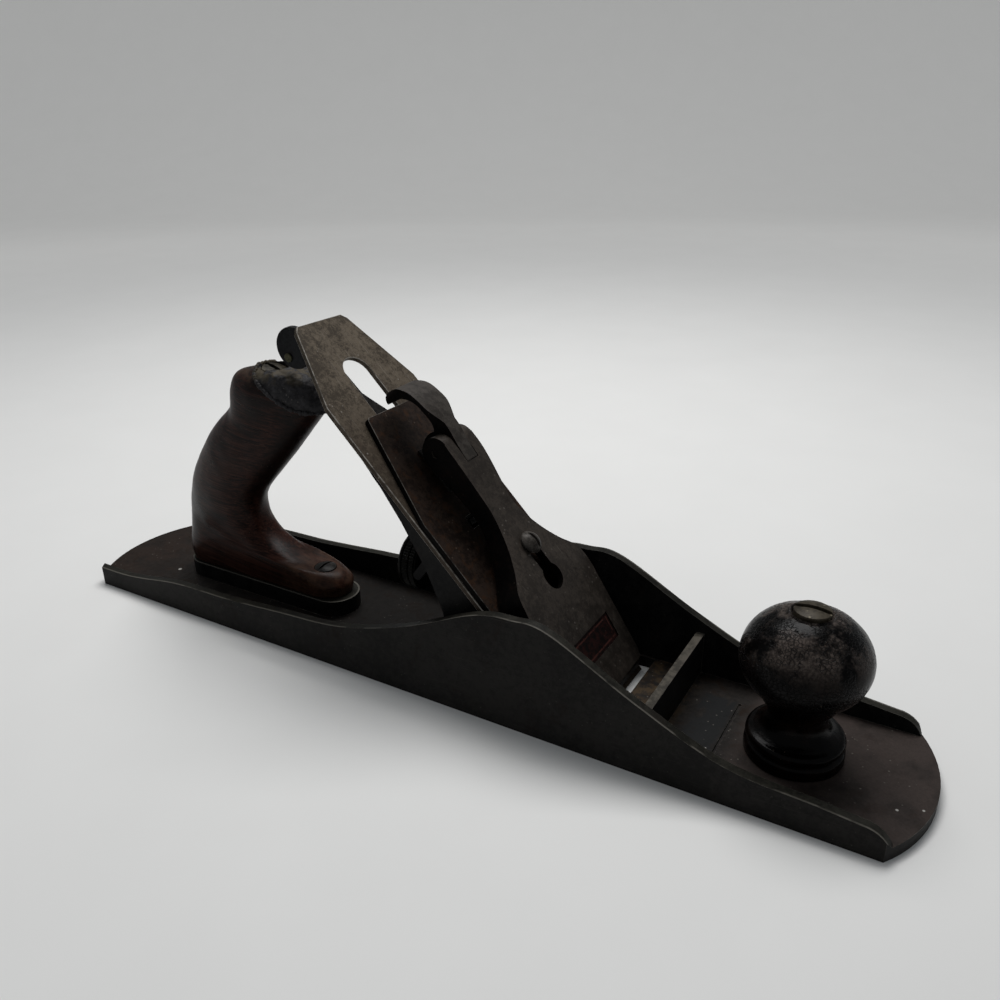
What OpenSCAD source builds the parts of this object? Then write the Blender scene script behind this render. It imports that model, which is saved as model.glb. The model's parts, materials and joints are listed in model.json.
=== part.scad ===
// Corrugated jack plane, a bench plane with a 45 degree iron, in millimetres.
// +X points to the toe, +Y to the left and +Z up. The origin is the middle of the sole's underside.
// Lengths named _s run up the iron from its edge, and lengths named _n stand off its upper face.

/* [Body] */
// Length over the rounded toe and heel
body_length = 355.6; // [345:0.1:370]
// Width over the side walls
body_width = 62.2; // [62:0.1:66]
// How far the rounded ends bulge past the straight sides
end_bow = 10.4; // [7:0.1:14]
// Thickness of the sole plate
sole_thickness = 4.5; // [4:0.1:5.5]
// Thickness of a side wall
wall_thickness = 3.4; // [2.8:0.1:3.4]
// Height of the side walls at the heel
wall_heel = 8.4; // [7:0.1:10]
// Height of the side walls beside the handle
wall_rear = 14; // [11:0.1:16]
// Height of the hump of the side walls
wall_peak = 43.8; // [40:0.1:46]
// Height of the side walls beside the knob
wall_front = 12.4; // [10:0.1:14]
// Thickness of the cross rib between the walls
rib_thickness = 3; // [2:0.1:5]
// Height of the cross rib above the ground
rib_height = 21; // [14:0.1:24]
// Distance of the cross rib in front of the mouth
rib_gap = 16; // [12:0.1:20]

/* [Sole] */
// Number of lengthwise grooves in the sole
groove_count = 16; // [10:2:16]
// Spacing of the grooves
groove_pitch = 3.3; // [2.8:0.1:3.4]
// Width of a groove
groove_width = 1.6; // [1:0.1:2]
// Depth of a groove
groove_depth = 1.1; // [0.6:0.1:1.4]
// Plain sole left at the toe, at the heel and around the mouth
groove_margin = 9; // [6:0.5:14]

/* [Iron] */
// Where the face of the iron meets the sole, ahead of the middle
mouth_x = 71; // [68:0.1:74]
// Opening of the mouth ahead of the iron
mouth_gap = 2.7; // [2.4:0.1:4]
// Length of the iron
iron_length = 177.8; // [174:0.1:180]
// Width of the iron
iron_width = 50.8; // [49:0.1:51]
// Thickness of the iron
iron_thickness = 2; // [1.8:0.1:2.5]
// Width of the iron's square top
iron_top_width = 28; // [24:0.5:34]
// Length of the iron's tapered top
iron_taper = 33; // [28:0.5:36]
// Width of the slot in the iron
slot_width = 13; // [12.4:0.1:13.6]
// Distance from the edge to the top of the slot
slot_top_s = 160; // [150:0.5:162]
// Angle ground on the iron's edge
bevel_angle = 27; // [25:1:35]
// How far the edge stands back inside the mouth, along the iron
edge_setback = 0.7; // [0.5:0.1:1.5]

/* [Cap iron] */
// Distance from the iron's edge to the top of the cap iron
cap_top_s = 135; // [128:0.5:138]
// Thickness of the cap iron
cap_thickness = 2.4; // [2:0.1:2.6]
// Width of the cap iron
cap_width = 50; // [47:0.1:50.8]
// Width of the cap iron's square top
cap_top_width = 30; // [24:0.5:36]
// Height of the curled lower end of the cap iron
hump_height = 3; // [2.6:0.1:3.2]
// Distance from the iron's edge to the cap iron screw
cap_screw_s = 44; // [42:0.5:46]
// Diameter of the cap iron screw's thread
cap_screw_d = 8; // [6:0.1:9]
// Diameter of the cap iron screw's head
cap_screw_head_d = 16; // [15:0.1:17]
// Height of the cap iron screw's head
cap_screw_head_h = 3.4; // [2.5:0.1:3.8]

/* [Frog] */
// Width of the frog
frog_width = 44; // [42:0.1:48]
// Thickness of the frog's sloping face
face_thickness = 6; // [5.5:0.1:6.5]
// Thickness of the frog's side webs
web_thickness = 3.5; // [2.8:0.1:3.8]
// Height of the body's seat for the frog
seat_height = 8.5; // [7.5:0.1:9.5]
// Thickness of the frog's foot
foot_thickness = 6.5; // [5.5:0.1:7]
// How far the frog can be set forward
frog_travel = 2; // [1:0.1:2]
// Thread diameter of the frog screws
frog_screw_d = 6.2; // [5:0.1:6.6]
// Sideways distance of each frog screw from the middle
frog_screw_y = 11.5; // [10.5:0.1:11.8]

/* [Adjusters] */
// Height of the adjusting stud above the ground
stud_z = 38; // [37:0.1:39]
// Diameter of the adjusting stud
stud_d = 7; // [6:0.1:7.6]
// Diameter of the knurled depth wheel
wheel_d = 23; // [22:0.1:26]
// Length of the knurled part of the depth wheel
wheel_rim = 7.6; // [7:0.1:8]
// How far the depth wheel's back face stands behind the middle of the body
wheel_back_x = 15.8; // [15.4:0.1:16.6]
// Width of the depth wheel's groove for the yoke
wheel_groove = 4.8; // [4.6:0.1:5.2]
// Diameter of the yoke's two pads
pad_d = 3.4; // [3:0.1:3.5]
// Distance up the iron of the yoke's pivot
yoke_s = 84; // [83:0.1:86]
// Diameter of the yoke's pin
yoke_pin_d = 3.2; // [2.6:0.1:3.6]
// Distance up the iron of the lateral lever's pivot
lateral_s = 128; // [127:0.1:129]
// Distance from the lateral lever's pivot down to its roller
lateral_arm = 20; // [19:0.1:21]
// Thickness of the lateral lever
lever_thickness = 1.6; // [1.2:0.1:1.7]
// Angle that the lateral lever is swung to the right
lateral_swing = 3; // [0:0.1:4]
// Diameter of the lateral lever's thumb disc
thumb_disc_d = 16; // [14:0.1:16.2]

/* [Lever cap] */
// Width of the lever cap's lower plate
lever_cap_width = 48; // [44:0.5:50]
// Width of the lever cap's waist
waist_width = 14; // [13:0.5:17]
// Wall thickness of the hollow lever cap
cap_wall = 2.6; // [2:0.1:3]
// Distance up the iron of the lever cap screw
lever_screw_s = 65; // [63:0.5:67]
// Diameter of the lever cap screw
lever_screw_d = 5.8; // [5:0.1:6]
// Diameter of the lever cap screw's domed head
lever_screw_head_d = 8.6; // [8:0.1:9]
// Distance from the lever cap screw down to the keyhole's wide end
keyhole_drop = 14; // [12:0.5:15]
// Distance up the iron of the cam's pivot
cam_s = 110; // [109:0.1:111]
// Width of the cam lever's neck
neck_width = 6.6; // [5.6:0.1:7]
// Width of the cam lever's thumb piece
thumb_width = 13.6; // [11:0.1:16]

/* [Handle and knob] */
// Thickness of the handle
tote_thickness = 22; // [20:0.5:25]
// Diameter of the handle's rod
rod_d = 5.6; // [5:0.1:6.2]
// Diameter of the round nuts on the handle and the knob
nut_d = 11.4; // [10:0.1:12]
// Distance of the knob's axis behind the tip of the toe
knob_setback = 44.4; // [41:0.1:45.8]
// Diameter of the knob's ball
knob_d = 40.8; // [39:0.1:44]
// Diameter of the knob's foot
knob_foot_d = 32; // [30:0.1:34]
// Height of the knob's ball at its middle above the ground
knob_z = 40.4; // [39:0.1:43]

/* [Hidden] */

$fn = 48;
// Overlap that keeps cuts and joins clean
eps = 0.5;
// Radial clearance of a pin or screw in its hole
fit = 0.05;
// Gap between a moving piece and a curved or sloping neighbour
clear = 0.3;
// Slope of the iron
bed_angle = 45;

// Colours of the castings, steels, brass and wood
cheek_iron = [0.24, 0.21, 0.2];
japan = [0.07, 0.07, 0.07];
brown_steel = [0.33, 0.28, 0.25];
rust_steel = [0.3, 0.21, 0.17];
cap_grey = [0.3, 0.27, 0.25];
dark_steel = [0.16, 0.15, 0.15];
brass = [0.5, 0.43, 0.27];
rosewood = [0.17, 0.09, 0.07];
lacquer = [0.06, 0.04, 0.04];
filler_grey = [0.33, 0.33, 0.34];

// Radius of the arc that gives a chord as wide as the body the given bulge
end_radius = (body_width * body_width / 4 + end_bow * end_bow) / (2 * end_bow);
inner_half = body_width / 2 - wall_thickness;
iron_half = iron_width / 2;
frog_half = frog_width / 2;

// A place in the iron's frame as x and z of the body, and the other way round
function to_body(s, n) = [mouth_x - s * cos(bed_angle) + n * sin(bed_angle),
                          s * sin(bed_angle) + n * cos(bed_angle)];
function to_iron(x, z) = [(mouth_x - x) * cos(bed_angle) + z * sin(bed_angle),
                          (x - mouth_x) * sin(bed_angle) + z * cos(bed_angle)];
// How far the plane of the iron's underside reaches forward at a height
function bed_x(z, n) = mouth_x + n / sin(bed_angle) - z / tan(bed_angle);

// A smooth curve through points, with a number of steps between each two
function through(a, b, c, d, t) =
    0.5 * (2 * b + (c - a) * t + (2 * a - 5 * b + 4 * c - d) * t * t
           + (3 * b - a - 3 * c + d) * t * t * t);
function smooth(p, steps) =
    [for (i = [0 : len(p) - 2]) for (j = [0 : steps - 1])
        through(p[max(i - 1, 0)], p[i], p[i + 1], p[min(i + 2, len(p) - 1)], j / steps),
     p[len(p) - 1]];
// The points of an arc
function arc(c, r, from, to, steps) =
    [for (i = [0 : steps]) let (a = from + (to - from) * i / steps)
        c + r * [cos(a), sin(a)]];
// The same points in the other order, and mirrored across the first axis
function reversed(p) = [for (i = [len(p) - 1 : -1 : 0]) p[i]];
function mirrored(p) = [for (q = p) [q[0], -q[1]]];

// Puts its children in the iron's frame
module on_iron()
    translate([mouth_x, 0, 0])
        rotate([0, bed_angle, 0])
            mirror([1, 0, 0])
                children();

// Extrudes a side outline from the first y to the second
module across(y0, y1)
    rotate([90, 0, 0])
        translate([0, 0, -y1])
            linear_extrude(y1 - y0)
                children();

// A straight bar with round ends
module bar(a, b, r) {
    along = (b - a) / norm(b - a);
    side = r * [-along[1], along[0]];
    translate(a) circle(r);
    translate(b) circle(r);
    polygon([a + side, b + side, b - side, a - side]);
}

// A ring or rod of radius r along y
module rod_y(r, y0, y1)
    rotate([90, 0, 0])
        translate([0, 0, -y1])
            cylinder(r = r, h = y1 - y0);

// Body

// Plan of the body with its rounded ends
module body_outline()
    difference() {
        square([body_length, body_width], center = true);
        for (turn = [0, 1])
            mirror([turn, 0])
                difference() {
                    translate([body_length / 2 - end_bow, -body_width])
                        square([end_bow + eps, 2 * body_width]);
                    translate([body_length / 2 - end_radius, 0])
                        circle(end_radius, $fn = 160);
                }
    }

// Rounding where the side walls run out at the toe
toe_round = 9;
toe_top = wall_front - 2.1;
toe_drop = asin((sole_thickness - toe_top + toe_round) / toe_round);
wall_end_x = body_length / 2 - 8.4;
hump_x = mouth_x - 26;
wall_line = smooth([
    [-body_length / 2, wall_heel], [-body_length / 2 + 28, wall_heel + 0.2],
    [-119, wall_rear - 1], [-89, wall_rear], [-59, wall_rear + 2.2], [-30, wall_rear + 4.8],
    [hump_x - 45, wall_peak - 16], [hump_x - 15, wall_peak - 2.4], [hump_x, wall_peak],
    [hump_x + 14, wall_peak - 1.2], [hump_x + 44, wall_peak - 16.8],
    [hump_x + 74, wall_front + 2], [148, wall_front - 0.8],
    [wall_end_x - toe_round, toe_top]], 8);
wall_profile = concat(
    [[-body_length / 2, 0]],
    wall_line,
    arc([wall_end_x - toe_round, toe_top - toe_round], toe_round, 80, toe_drop, 6),
    [[wall_end_x, sole_thickness], [body_length / 2, sole_thickness], [body_length / 2, 0]]);

// Front and back ends of one field of grooves, each with a run-out
groove_runout = 5;
module groove_field(x0, x1)
    for (i = [0 : groove_count - 1])
        translate([0, (i - (groove_count - 1) / 2) * groove_pitch, 0])
            across(-groove_width / 2, groove_width / 2)
                polygon([[x0, 0], [x0, -eps], [x1, -eps], [x1, 0],
                         [x1 - groove_runout, groove_depth], [x0 + groove_runout, groove_depth]]);

mouth_half = iron_half + 1.5;
mouth_back_n = -iron_thickness - clear;
module mouth_cut()
    across(-mouth_half, mouth_half)
        polygon([[bed_x(-eps, mouth_back_n), -eps], [mouth_x + mouth_gap, -eps],
                 [mouth_x + mouth_gap, 0],
                 [mouth_x + mouth_gap + 1.5, sole_thickness + eps],
                 [bed_x(sole_thickness + eps, mouth_back_n), sole_thickness + eps]]);

// Seat for the frog, with a channel along its middle
seat_back_x = mouth_x - 58;
seat_half = frog_half + 1;
module frog_seat()
    difference() {
        across(-seat_half, seat_half)
            polygon([[seat_back_x, sole_thickness - eps], [seat_back_x, seat_height],
                     [bed_x(seat_height, mouth_back_n), seat_height],
                     [bed_x(sole_thickness - eps, mouth_back_n), sole_thickness - eps]]);
        translate([seat_back_x - eps, -4, sole_thickness])
            cube([34, 8, seat_height]);
    }

frog_screw_x = mouth_x - 40;
rib_x = mouth_x + mouth_gap + rib_gap;

// Rod of the handle, from its foot in the body to the nut at the top
tote_pad_z = sole_thickness + 6.9;
tote_pad_half = tote_thickness / 2 - 0.8;
tote_front_x = -47.6;
tote_back_x = -137.3;
rod_foot = [-120, sole_thickness];
rod_top = [-77.5, 103];
rod_lean = atan2(rod_top[0] - rod_foot[0], rod_top[1] - rod_foot[1]);
rod_run = norm(rod_top - rod_foot);
module on_rod()
    translate([rod_foot[0], 0, rod_foot[1]])
        rotate([0, rod_lean, 0])
            children();
toe_screw_x = -62;
toe_screw_d = 4.6;
hole_floor = 1.8;
knob_x = body_length / 2 - knob_setback;
knob_boss_h = 3;
knob_boss_d = 12;

module body()
    color(cheek_iron)
        difference() {
            union() {
                intersection() {
                    linear_extrude(wall_peak + 10) body_outline();
                    difference() {
                        across(-body_width, body_width) polygon(wall_profile);
                        translate([-body_length, -inner_half, sole_thickness])
                            cube([2 * body_length, 2 * inner_half, wall_peak + 10]);
                    }
                }
                translate([rib_x, -inner_half - eps, sole_thickness - eps])
                    cube([rib_thickness, 2 * (inner_half + eps), rib_height - sole_thickness + eps]);
                frog_seat();
                translate([0, 0, sole_thickness - eps])
                    linear_extrude(tote_pad_z - sole_thickness + eps)
                        bar([tote_back_x + tote_pad_half, 0], [tote_front_x - tote_pad_half, 0], tote_pad_half);
                translate([knob_x, 0, sole_thickness - eps])
                    cylinder(d = knob_boss_d, h = knob_boss_h + eps);
            }
            groove_field(-body_length / 2 + groove_margin, bed_x(0, mouth_back_n) - groove_margin);
            groove_field(mouth_x + mouth_gap + groove_margin, body_length / 2 - groove_margin);
            mouth_cut();
            for (side = [-1, 1])
                translate([frog_screw_x, side * frog_screw_y, hole_floor])
                    cylinder(d = frog_screw_d + 2 * fit, h = seat_height);
            on_rod() translate([0, 0, -1.4]) cylinder(d = rod_d + 2 * fit, h = 10);
            translate([toe_screw_x, 0, hole_floor])
                cylinder(d = toe_screw_d + 2 * fit, h = tote_pad_z);
            translate([knob_x, 0, hole_floor])
                cylinder(d = rod_d + 2 * fit, h = sole_thickness + knob_boss_h);
            // Shallow line across the front bed
            translate([rib_x + 21, -15.5, sole_thickness - 0.6])
                cube([1, 31, 1]);
        }

// Frog

foot_top = seat_height + foot_thickness;
foot_back_x = seat_back_x + 2;
// How far the webs and the foot reach into each other
join = 0.8;
face_arch_s = 116;
lateral_floor_n = -iron_thickness - lever_thickness - 0.5;
yoke_n = -9.5;
yoke_hub_r = 3.4;
lug_half = 9;
lug_r = 3.4;
fork_r = 1.8;
lug_gap = 5.4;
web_line = [[face_arch_s + 11, -iron_thickness - 1.6], [113, -5], [100, -7.2], [81, -12.1],
            [65, -18.5], to_iron(foot_back_x + join, foot_top - join)];

// Outline of the sloping face, arched at the top
module face_plan() {
    translate([0, -frog_half]) square([face_arch_s, frog_width]);
    translate([face_arch_s, 0]) circle(frog_half, $fn = 96);
}

// Thickness of the face along the iron
module face_profile()
    across(-frog_half, frog_half)
        polygon([[0, -iron_thickness], [face_arch_s + frog_half, -iron_thickness],
                 [face_arch_s + frog_half, -iron_thickness - 1.6], [113, -5],
                 [96, -iron_thickness - face_thickness], [0, -iron_thickness - face_thickness]]);

module frog()
    color(japan)
        difference() {
            union() {
                on_iron() {
                    intersection() {
                        translate([0, 0, -20]) linear_extrude(20) face_plan();
                        face_profile();
                    }
                    // Boss for the lateral lever's rivet
                    intersection() {
                        translate([0, 0, -7.6]) linear_extrude(7.6 - iron_thickness) face_plan();
                        across(-11, 11)
                            polygon([[100, -iron_thickness], [lateral_s + 6, -iron_thickness],
                                     [lateral_s + 6, -6.6], [lateral_s + 4, -7.6], [96, -7.6]]);
                    }
                    // Boss for the lever cap screw
                    translate([lever_screw_s, 0, -16])
                        cylinder(r = 6, h = 16 - iron_thickness);
                    // Lugs for the yoke's pin
                    for (side = [-1, 1])
                        scale([1, side, 1])
                            across(lug_gap, lug_half)
                                bar([yoke_s, yoke_n], [yoke_s, -iron_thickness - face_thickness + 1], lug_r);
                }
                // Side webs, down to the foot
                for (side = [-1, 1])
                    scale([1, side, 1])
                        on_iron()
                            across(frog_half - web_thickness, frog_half)
                                polygon(concat([[0, -iron_thickness]], [[face_arch_s + 11, -iron_thickness]],
                                               web_line, [to_iron(foot_back_x + join, 0)]));
                // Foot on the body's seat
                across(-frog_half, frog_half)
                    polygon([[foot_back_x, seat_height], [bed_x(seat_height, -iron_thickness) - join, seat_height],
                             [bed_x(foot_top, -iron_thickness) - join, foot_top], [foot_back_x, foot_top]]);
                // Back wall that carries the stud's boss
                translate([foot_back_x - 3, -frog_half + 1, foot_top - eps])
                    cube([4, frog_width - 2, stud_z - foot_top + 4]);
                translate([foot_back_x - 7, 0, stud_z])
                    rotate([0, 90, 0])
                        cylinder(r = 6.5, h = 17);
            }
            translate([-body_length, -body_width, -body_length + seat_height])
                cube([2 * body_length, 2 * body_width, body_length]);
            // Slots and access holes of the frog screws
            for (side = [-1, 1]) {
                translate([0, side * frog_screw_y, seat_height - eps])
                    linear_extrude(foot_thickness + 2 * eps)
                        bar([frog_screw_x - frog_travel, 0], [frog_screw_x, 0], frog_screw_d / 2 + clear);
                translate([frog_screw_x - frog_travel / 2, side * frog_screw_y, foot_top])
                    cylinder(d = washer_d + frog_travel + 0.6, h = 40);
            }
            // Bore of the adjusting stud
            translate([foot_back_x - 8, 0, stud_z])
                rotate([0, 90, 0])
                    cylinder(d = stud_d + 2 * fit, h = stud_seat + 8);
            on_iron() {
                // Pocket for the cap iron screw's head
                translate([cap_screw_s - 12, -pocket_half, -iron_thickness - cap_screw_head_h - 0.6])
                    cube([24, 2 * pocket_half, cap_screw_head_h + 2]);
                // Window for the yoke
                translate([yoke_s - 8, -lug_gap, -30])
                    cube([16, 2 * lug_gap, 30]);
                // Recess for the lateral lever and its rivet
                translate([lateral_s - lateral_arm - 8, -9.4, lateral_floor_n])
                    cube([lateral_arm + 8 + frog_half, 18.8, 6]);
                translate([lateral_s, 0, -20]) cylinder(d = lateral_rivet_d + 2 * fit, h = 20);
                // Holes for the lever cap screw and the yoke's pin
                translate([lever_screw_s, 0, -lever_screw_depth])
                    cylinder(d = lever_screw_d + 2 * fit, h = lever_screw_depth);
                translate([yoke_s, 0, yoke_n])
                    rod_y(yoke_pin_d / 2 + fit, -lug_half - eps, lug_half + eps);
            }
        }

washer_d = 12.6;
washer_h = 1.2;
pocket_half = cap_screw_head_d / 2 + 1.4;
stud_seat = 5;
lateral_rivet_d = 5;
lever_screw_depth = 6.6;

module frog_screws()
    color(dark_steel)
        for (side = [-1, 1])
            translate([frog_screw_x, side * frog_screw_y, 0])
                difference() {
                    union() {
                        translate([0, 0, hole_floor + 0.4])
                            cylinder(d = frog_screw_d, h = foot_top + washer_h - hole_floor - 0.4 + eps);
                        translate([0, 0, foot_top + washer_h])
                            cylinder(d = washer_d - 2.4, h = 3.6);
                    }
                    translate([-washer_d, -0.7, foot_top + washer_h + 2])
                        cube([2 * washer_d, 1.4, 3]);
                }

module frog_washers()
    color(brown_steel)
        for (side = [-1, 1])
            translate([frog_screw_x, side * frog_screw_y, foot_top])
                difference() {
                    cylinder(d = washer_d, h = washer_h);
                    translate([0, 0, -eps]) cylinder(d = frog_screw_d + 0.2, h = washer_h + 2 * eps);
                }

// Depth adjuster

wheel_flange = 1.8;
wheel_neck_r = 5;
wheel_flange_r = wheel_neck_r + 2;
groove_x = -wheel_back_x + wheel_rim + wheel_groove / 2;
stud_back_x = -wheel_back_x + 3.4;

module adjusting_stud()
    color(dark_steel)
        translate([stud_back_x, 0, stud_z])
            rotate([0, 90, 0])
                difference() {
                    union() {
                        cylinder(d = stud_d, h = foot_back_x + stud_seat - stud_back_x - 0.5);
                        // Plain collar against the frog's boss
                        translate([0, 0, foot_back_x - 7 - stud_back_x - 1.5])
                            cylinder(d = stud_d + 2.4, h = 1.4);
                    }
                    translate([-0.5, -stud_d, -eps]) cube([1, 2 * stud_d, 1.5 + eps]);
                }

module depth_wheel()
    color(dark_steel)
        translate([-wheel_back_x, 0, stud_z])
            rotate([0, 90, 0])
                rotate_extrude($fn = 96)
                    difference() {
                        polygon(concat(
                            [[stud_d / 2 + fit, 0]],
                            arc([wheel_d / 2 - 1.2, 1.2], 1.2, -90, 0, 5),
                            [[wheel_d / 2 - 0.6, 1.5], [wheel_d / 2 - 0.6, 1.8], [wheel_d / 2, 2.1],
                             [wheel_d / 2, wheel_rim - 0.6], [wheel_d / 2 - 0.6, wheel_rim],
                             [wheel_neck_r, wheel_rim], [wheel_neck_r, wheel_rim + wheel_groove],
                             [wheel_flange_r, wheel_rim + wheel_groove],
                             [wheel_flange_r, wheel_rim + wheel_groove + wheel_flange],
                             [stud_d / 2 + fit, wheel_rim + wheel_groove + wheel_flange]]));
                        // Groove between the two knurled bands
                        translate([wheel_d / 2 - 0.6, wheel_rim / 2 + 0.6]) square([1, 0.7]);
                    }

// Inner side of the yoke's arms, their thickness, and the reach of their pads
yoke_arm_y = 9.7;
yoke_arm_w = 2.6;
pad_reach = wheel_neck_r + 0.8;
yoke_pivot = [yoke_s, yoke_n];
yoke_pad = to_iron(groove_x, stud_z);
yoke_fork = yoke_pivot + (lug_r + fork_r + 0.4) * (yoke_pad - yoke_pivot) / norm(yoke_pad - yoke_pivot);
finger_r = 1.8;
finger_half = 3.2;

module yoke()
    color(japan)
        on_iron()
            difference() {
                union() {
                    across(-lug_gap + clear, lug_gap - clear) {
                        translate(yoke_pivot) circle(yoke_hub_r);
                        bar(yoke_pivot, yoke_fork, fork_r);
                    }
                    across(-finger_half, finger_half)
                        bar(yoke_pivot, [yoke_s, cap_thickness - 0.4 - finger_r], finger_r);
                    across(-yoke_arm_y - yoke_arm_w, yoke_arm_y + yoke_arm_w)
                        bar(yoke_fork, yoke_fork + (yoke_pad - yoke_fork) * 0.02, fork_r);
                    for (side = [-1, 1])
                        scale([1, side, 1]) {
                            across(yoke_arm_y, yoke_arm_y + yoke_arm_w)
                                bar(yoke_fork, yoke_pad, pad_d / 2);
                            translate([yoke_pad[0], 0, yoke_pad[1]])
                                rod_y(pad_d / 2, pad_reach, yoke_arm_y + eps);
                        }
                }
                translate([yoke_s, 0, yoke_n])
                    rod_y(yoke_pin_d / 2 + fit, -lug_gap, lug_gap);
            }

module yoke_pin()
    color(dark_steel)
        on_iron()
            translate([yoke_s, 0, yoke_n])
                rod_y(yoke_pin_d / 2, -lug_half, lug_half);

// Lateral adjuster

lever_top_n = -iron_thickness - 0.25;
lever_low_n = lever_top_n - lever_thickness;
roller_d = slot_width - 0.6;
roller_post_d = 4;
disc_s = 175.6;
disc_n = -2.4 - thumb_disc_d / 2;
fold_y = -2.1;
disc_thickness = 2.6;
thumb_rivet_at = [disc_s - 0.8, disc_n - 4.6];
// Plan of the lever's arm from its pivot, with the near edge straight
arm_end = disc_s - lateral_s - 9;
arm_plan = [[0, 6.2], [6, 5.4], [9, 4], [13.8, 1.6], [18.3, fold_y + lever_thickness],
            [arm_end, fold_y + lever_thickness], [arm_end, -6], [8, -6.4], [0, -6.4]];

// Puts its children in the swung lever's frame, with the pivot at the origin
module on_lateral()
    on_iron()
        translate([lateral_s, 0, 0])
            rotate([0, 0, -lateral_swing])
                children();

module lateral_lever()
    color(dark_steel)
        on_lateral()
            difference() {
                union() {
                    translate([0, 0, lever_low_n])
                        linear_extrude(lever_thickness) {
                            bar([-lateral_arm, 0], [0, 0], 5);
                            circle(6.4);
                            polygon(arm_plan);
                        }
                    // Tab folded down at the end of the arm
                    across(fold_y, fold_y + lever_thickness)
                        polygon(concat([[arm_end - 7, lever_top_n - 0.6], [arm_end, lever_top_n - 0.6]],
                                       arc(thumb_rivet_at - [lateral_s, 0], 4, 30, -130, 8)));
                    translate([-lateral_arm, 0, lever_low_n])
                        cylinder(d = roller_post_d, h = -lever_low_n - 0.35);
                }
                translate([0, 0, lever_low_n - eps])
                    cylinder(d = lateral_rivet_d + 2 * fit, h = 4);
                translate([thumb_rivet_at[0] - lateral_s, 0, thumb_rivet_at[1]])
                    rod_y(thumb_rivet_r + fit, fold_y - eps, fold_y + lever_thickness + eps);
            }

thumb_rivet_r = 1.2;

module lateral_rivet()
    color(dark_steel)
        on_iron()
            translate([lateral_s, 0, 0]) {
                translate([0, 0, -8.6]) cylinder(d = lateral_rivet_d, h = 8.6 + lever_top_n);
                translate([0, 0, -9.2]) cylinder(d = lateral_rivet_d + 3, h = 1.5);
            }

module lateral_roller()
    color(brown_steel)
        on_lateral()
            translate([-lateral_arm, 0, lever_top_n + 0.05])
                difference() {
                    cylinder(d = roller_d, h = -lever_top_n - 0.4);
                    translate([0, 0, -eps])
                        cylinder(d = roller_post_d + 2 * fit, h = 4);
                }

module thumb_disc()
    color(dark_steel)
        on_lateral()
            difference() {
                translate([disc_s - lateral_s, 0, disc_n])
                    rod_y(thumb_disc_d / 2, fold_y - disc_thickness, fold_y);
                translate([thumb_rivet_at[0] - lateral_s, 0, thumb_rivet_at[1]])
                    rod_y(thumb_rivet_r + fit, fold_y - disc_thickness - eps, fold_y + eps);
            }

module thumb_rivet()
    color(brass)
        on_lateral()
            translate([thumb_rivet_at[0] - lateral_s, 0, thumb_rivet_at[1]]) {
                rod_y(thumb_rivet_r, fold_y - disc_thickness - 0.4, fold_y + lever_thickness + 0.4);
                rod_y(thumb_rivet_r + 0.5, fold_y - disc_thickness - 0.6, fold_y - disc_thickness);
                rod_y(thumb_rivet_r + 0.5, fold_y + lever_thickness, fold_y + lever_thickness + 0.6);
            }

// Cutter

// The roller's offset turns the iron a little about the cap iron screw
iron_tilt = asin(lateral_arm * sin(lateral_swing) / (lateral_s - lateral_arm - cap_screw_s));
module on_cutter()
    on_iron()
        translate([cap_screw_s, 0, 0])
            rotate([0, 0, iron_tilt])
                translate([-cap_screw_s, 0, 0])
                    children();

// Half of the iron's outline from its edge to its top
iron_side = [[edge_setback, iron_half], [iron_length - iron_taper, iron_half],
             [iron_length - 2, iron_top_width / 2], [iron_length, iron_top_width / 2 - 2]];
keyhole_s = 26;

module iron()
    color(brown_steel)
        on_cutter()
            difference() {
                translate([0, 0, -iron_thickness])
                    linear_extrude(iron_thickness)
                        difference() {
                            polygon(concat(iron_side, reversed(mirrored(iron_side))));
                            bar([keyhole_s, 0], [slot_top_s - slot_width / 2, 0], slot_width / 2);
                            translate([keyhole_s, 0]) circle(cap_screw_head_d / 2 + 0.6);
                        }
                across(-iron_width, iron_width)
                    polygon([[edge_setback - eps, 0], [edge_setback, 0],
                             [edge_setback + iron_thickness / tan(bevel_angle), -iron_thickness],
                             [edge_setback + iron_thickness / tan(bevel_angle), -iron_thickness - eps],
                             [edge_setback - eps, -iron_thickness - eps]]);
            }

// Side outline of the cap iron, with its curled lower end
hump_s = 8;
lip_s = edge_setback + 2;
cap_upper = smooth([[lip_s, 0.35], [lip_s + 2, hump_height - 0.9], [hump_s, hump_height],
                    [hump_s + 6, hump_height - 0.2], [hump_s + 14, cap_thickness]], 6);
cap_lower = smooth([[hump_s + 12, 0], [hump_s + 6, 0.4], [hump_s, 0.9],
                    [lip_s + 2, 0.5], [lip_s, 0]], 5);
cap_side = [[0, cap_width / 2], [92, cap_width / 2],
            [cap_top_s - 1, cap_top_width / 2], [cap_top_s, cap_top_width / 2 - 1]];

module cap_iron()
    color(rust_steel)
        on_cutter()
            difference() {
                intersection() {
                    across(-cap_width, cap_width)
                        polygon(concat(cap_upper, [[cap_top_s + 5, cap_thickness], [cap_top_s + 5, 0]],
                                       cap_lower));
                    linear_extrude(10)
                        polygon(concat(cap_side, reversed(mirrored(cap_side))));
                }
                translate([cap_screw_s, 0, -eps])
                    cylinder(d = cap_screw_d + 2 * fit, h = 5);
                // Hole for the lever cap screw and slot for the yoke's finger
                translate([0, 0, -eps])
                    linear_extrude(5)
                        bar([lever_screw_s - 4, 0], [lever_screw_s + 4, 0], lever_screw_d / 2 + 2);
                translate([yoke_s - finger_r - 0.7, -5.5, -eps])
                    cube([2 * finger_r + 1.4, 11, 5]);
            }

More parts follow.
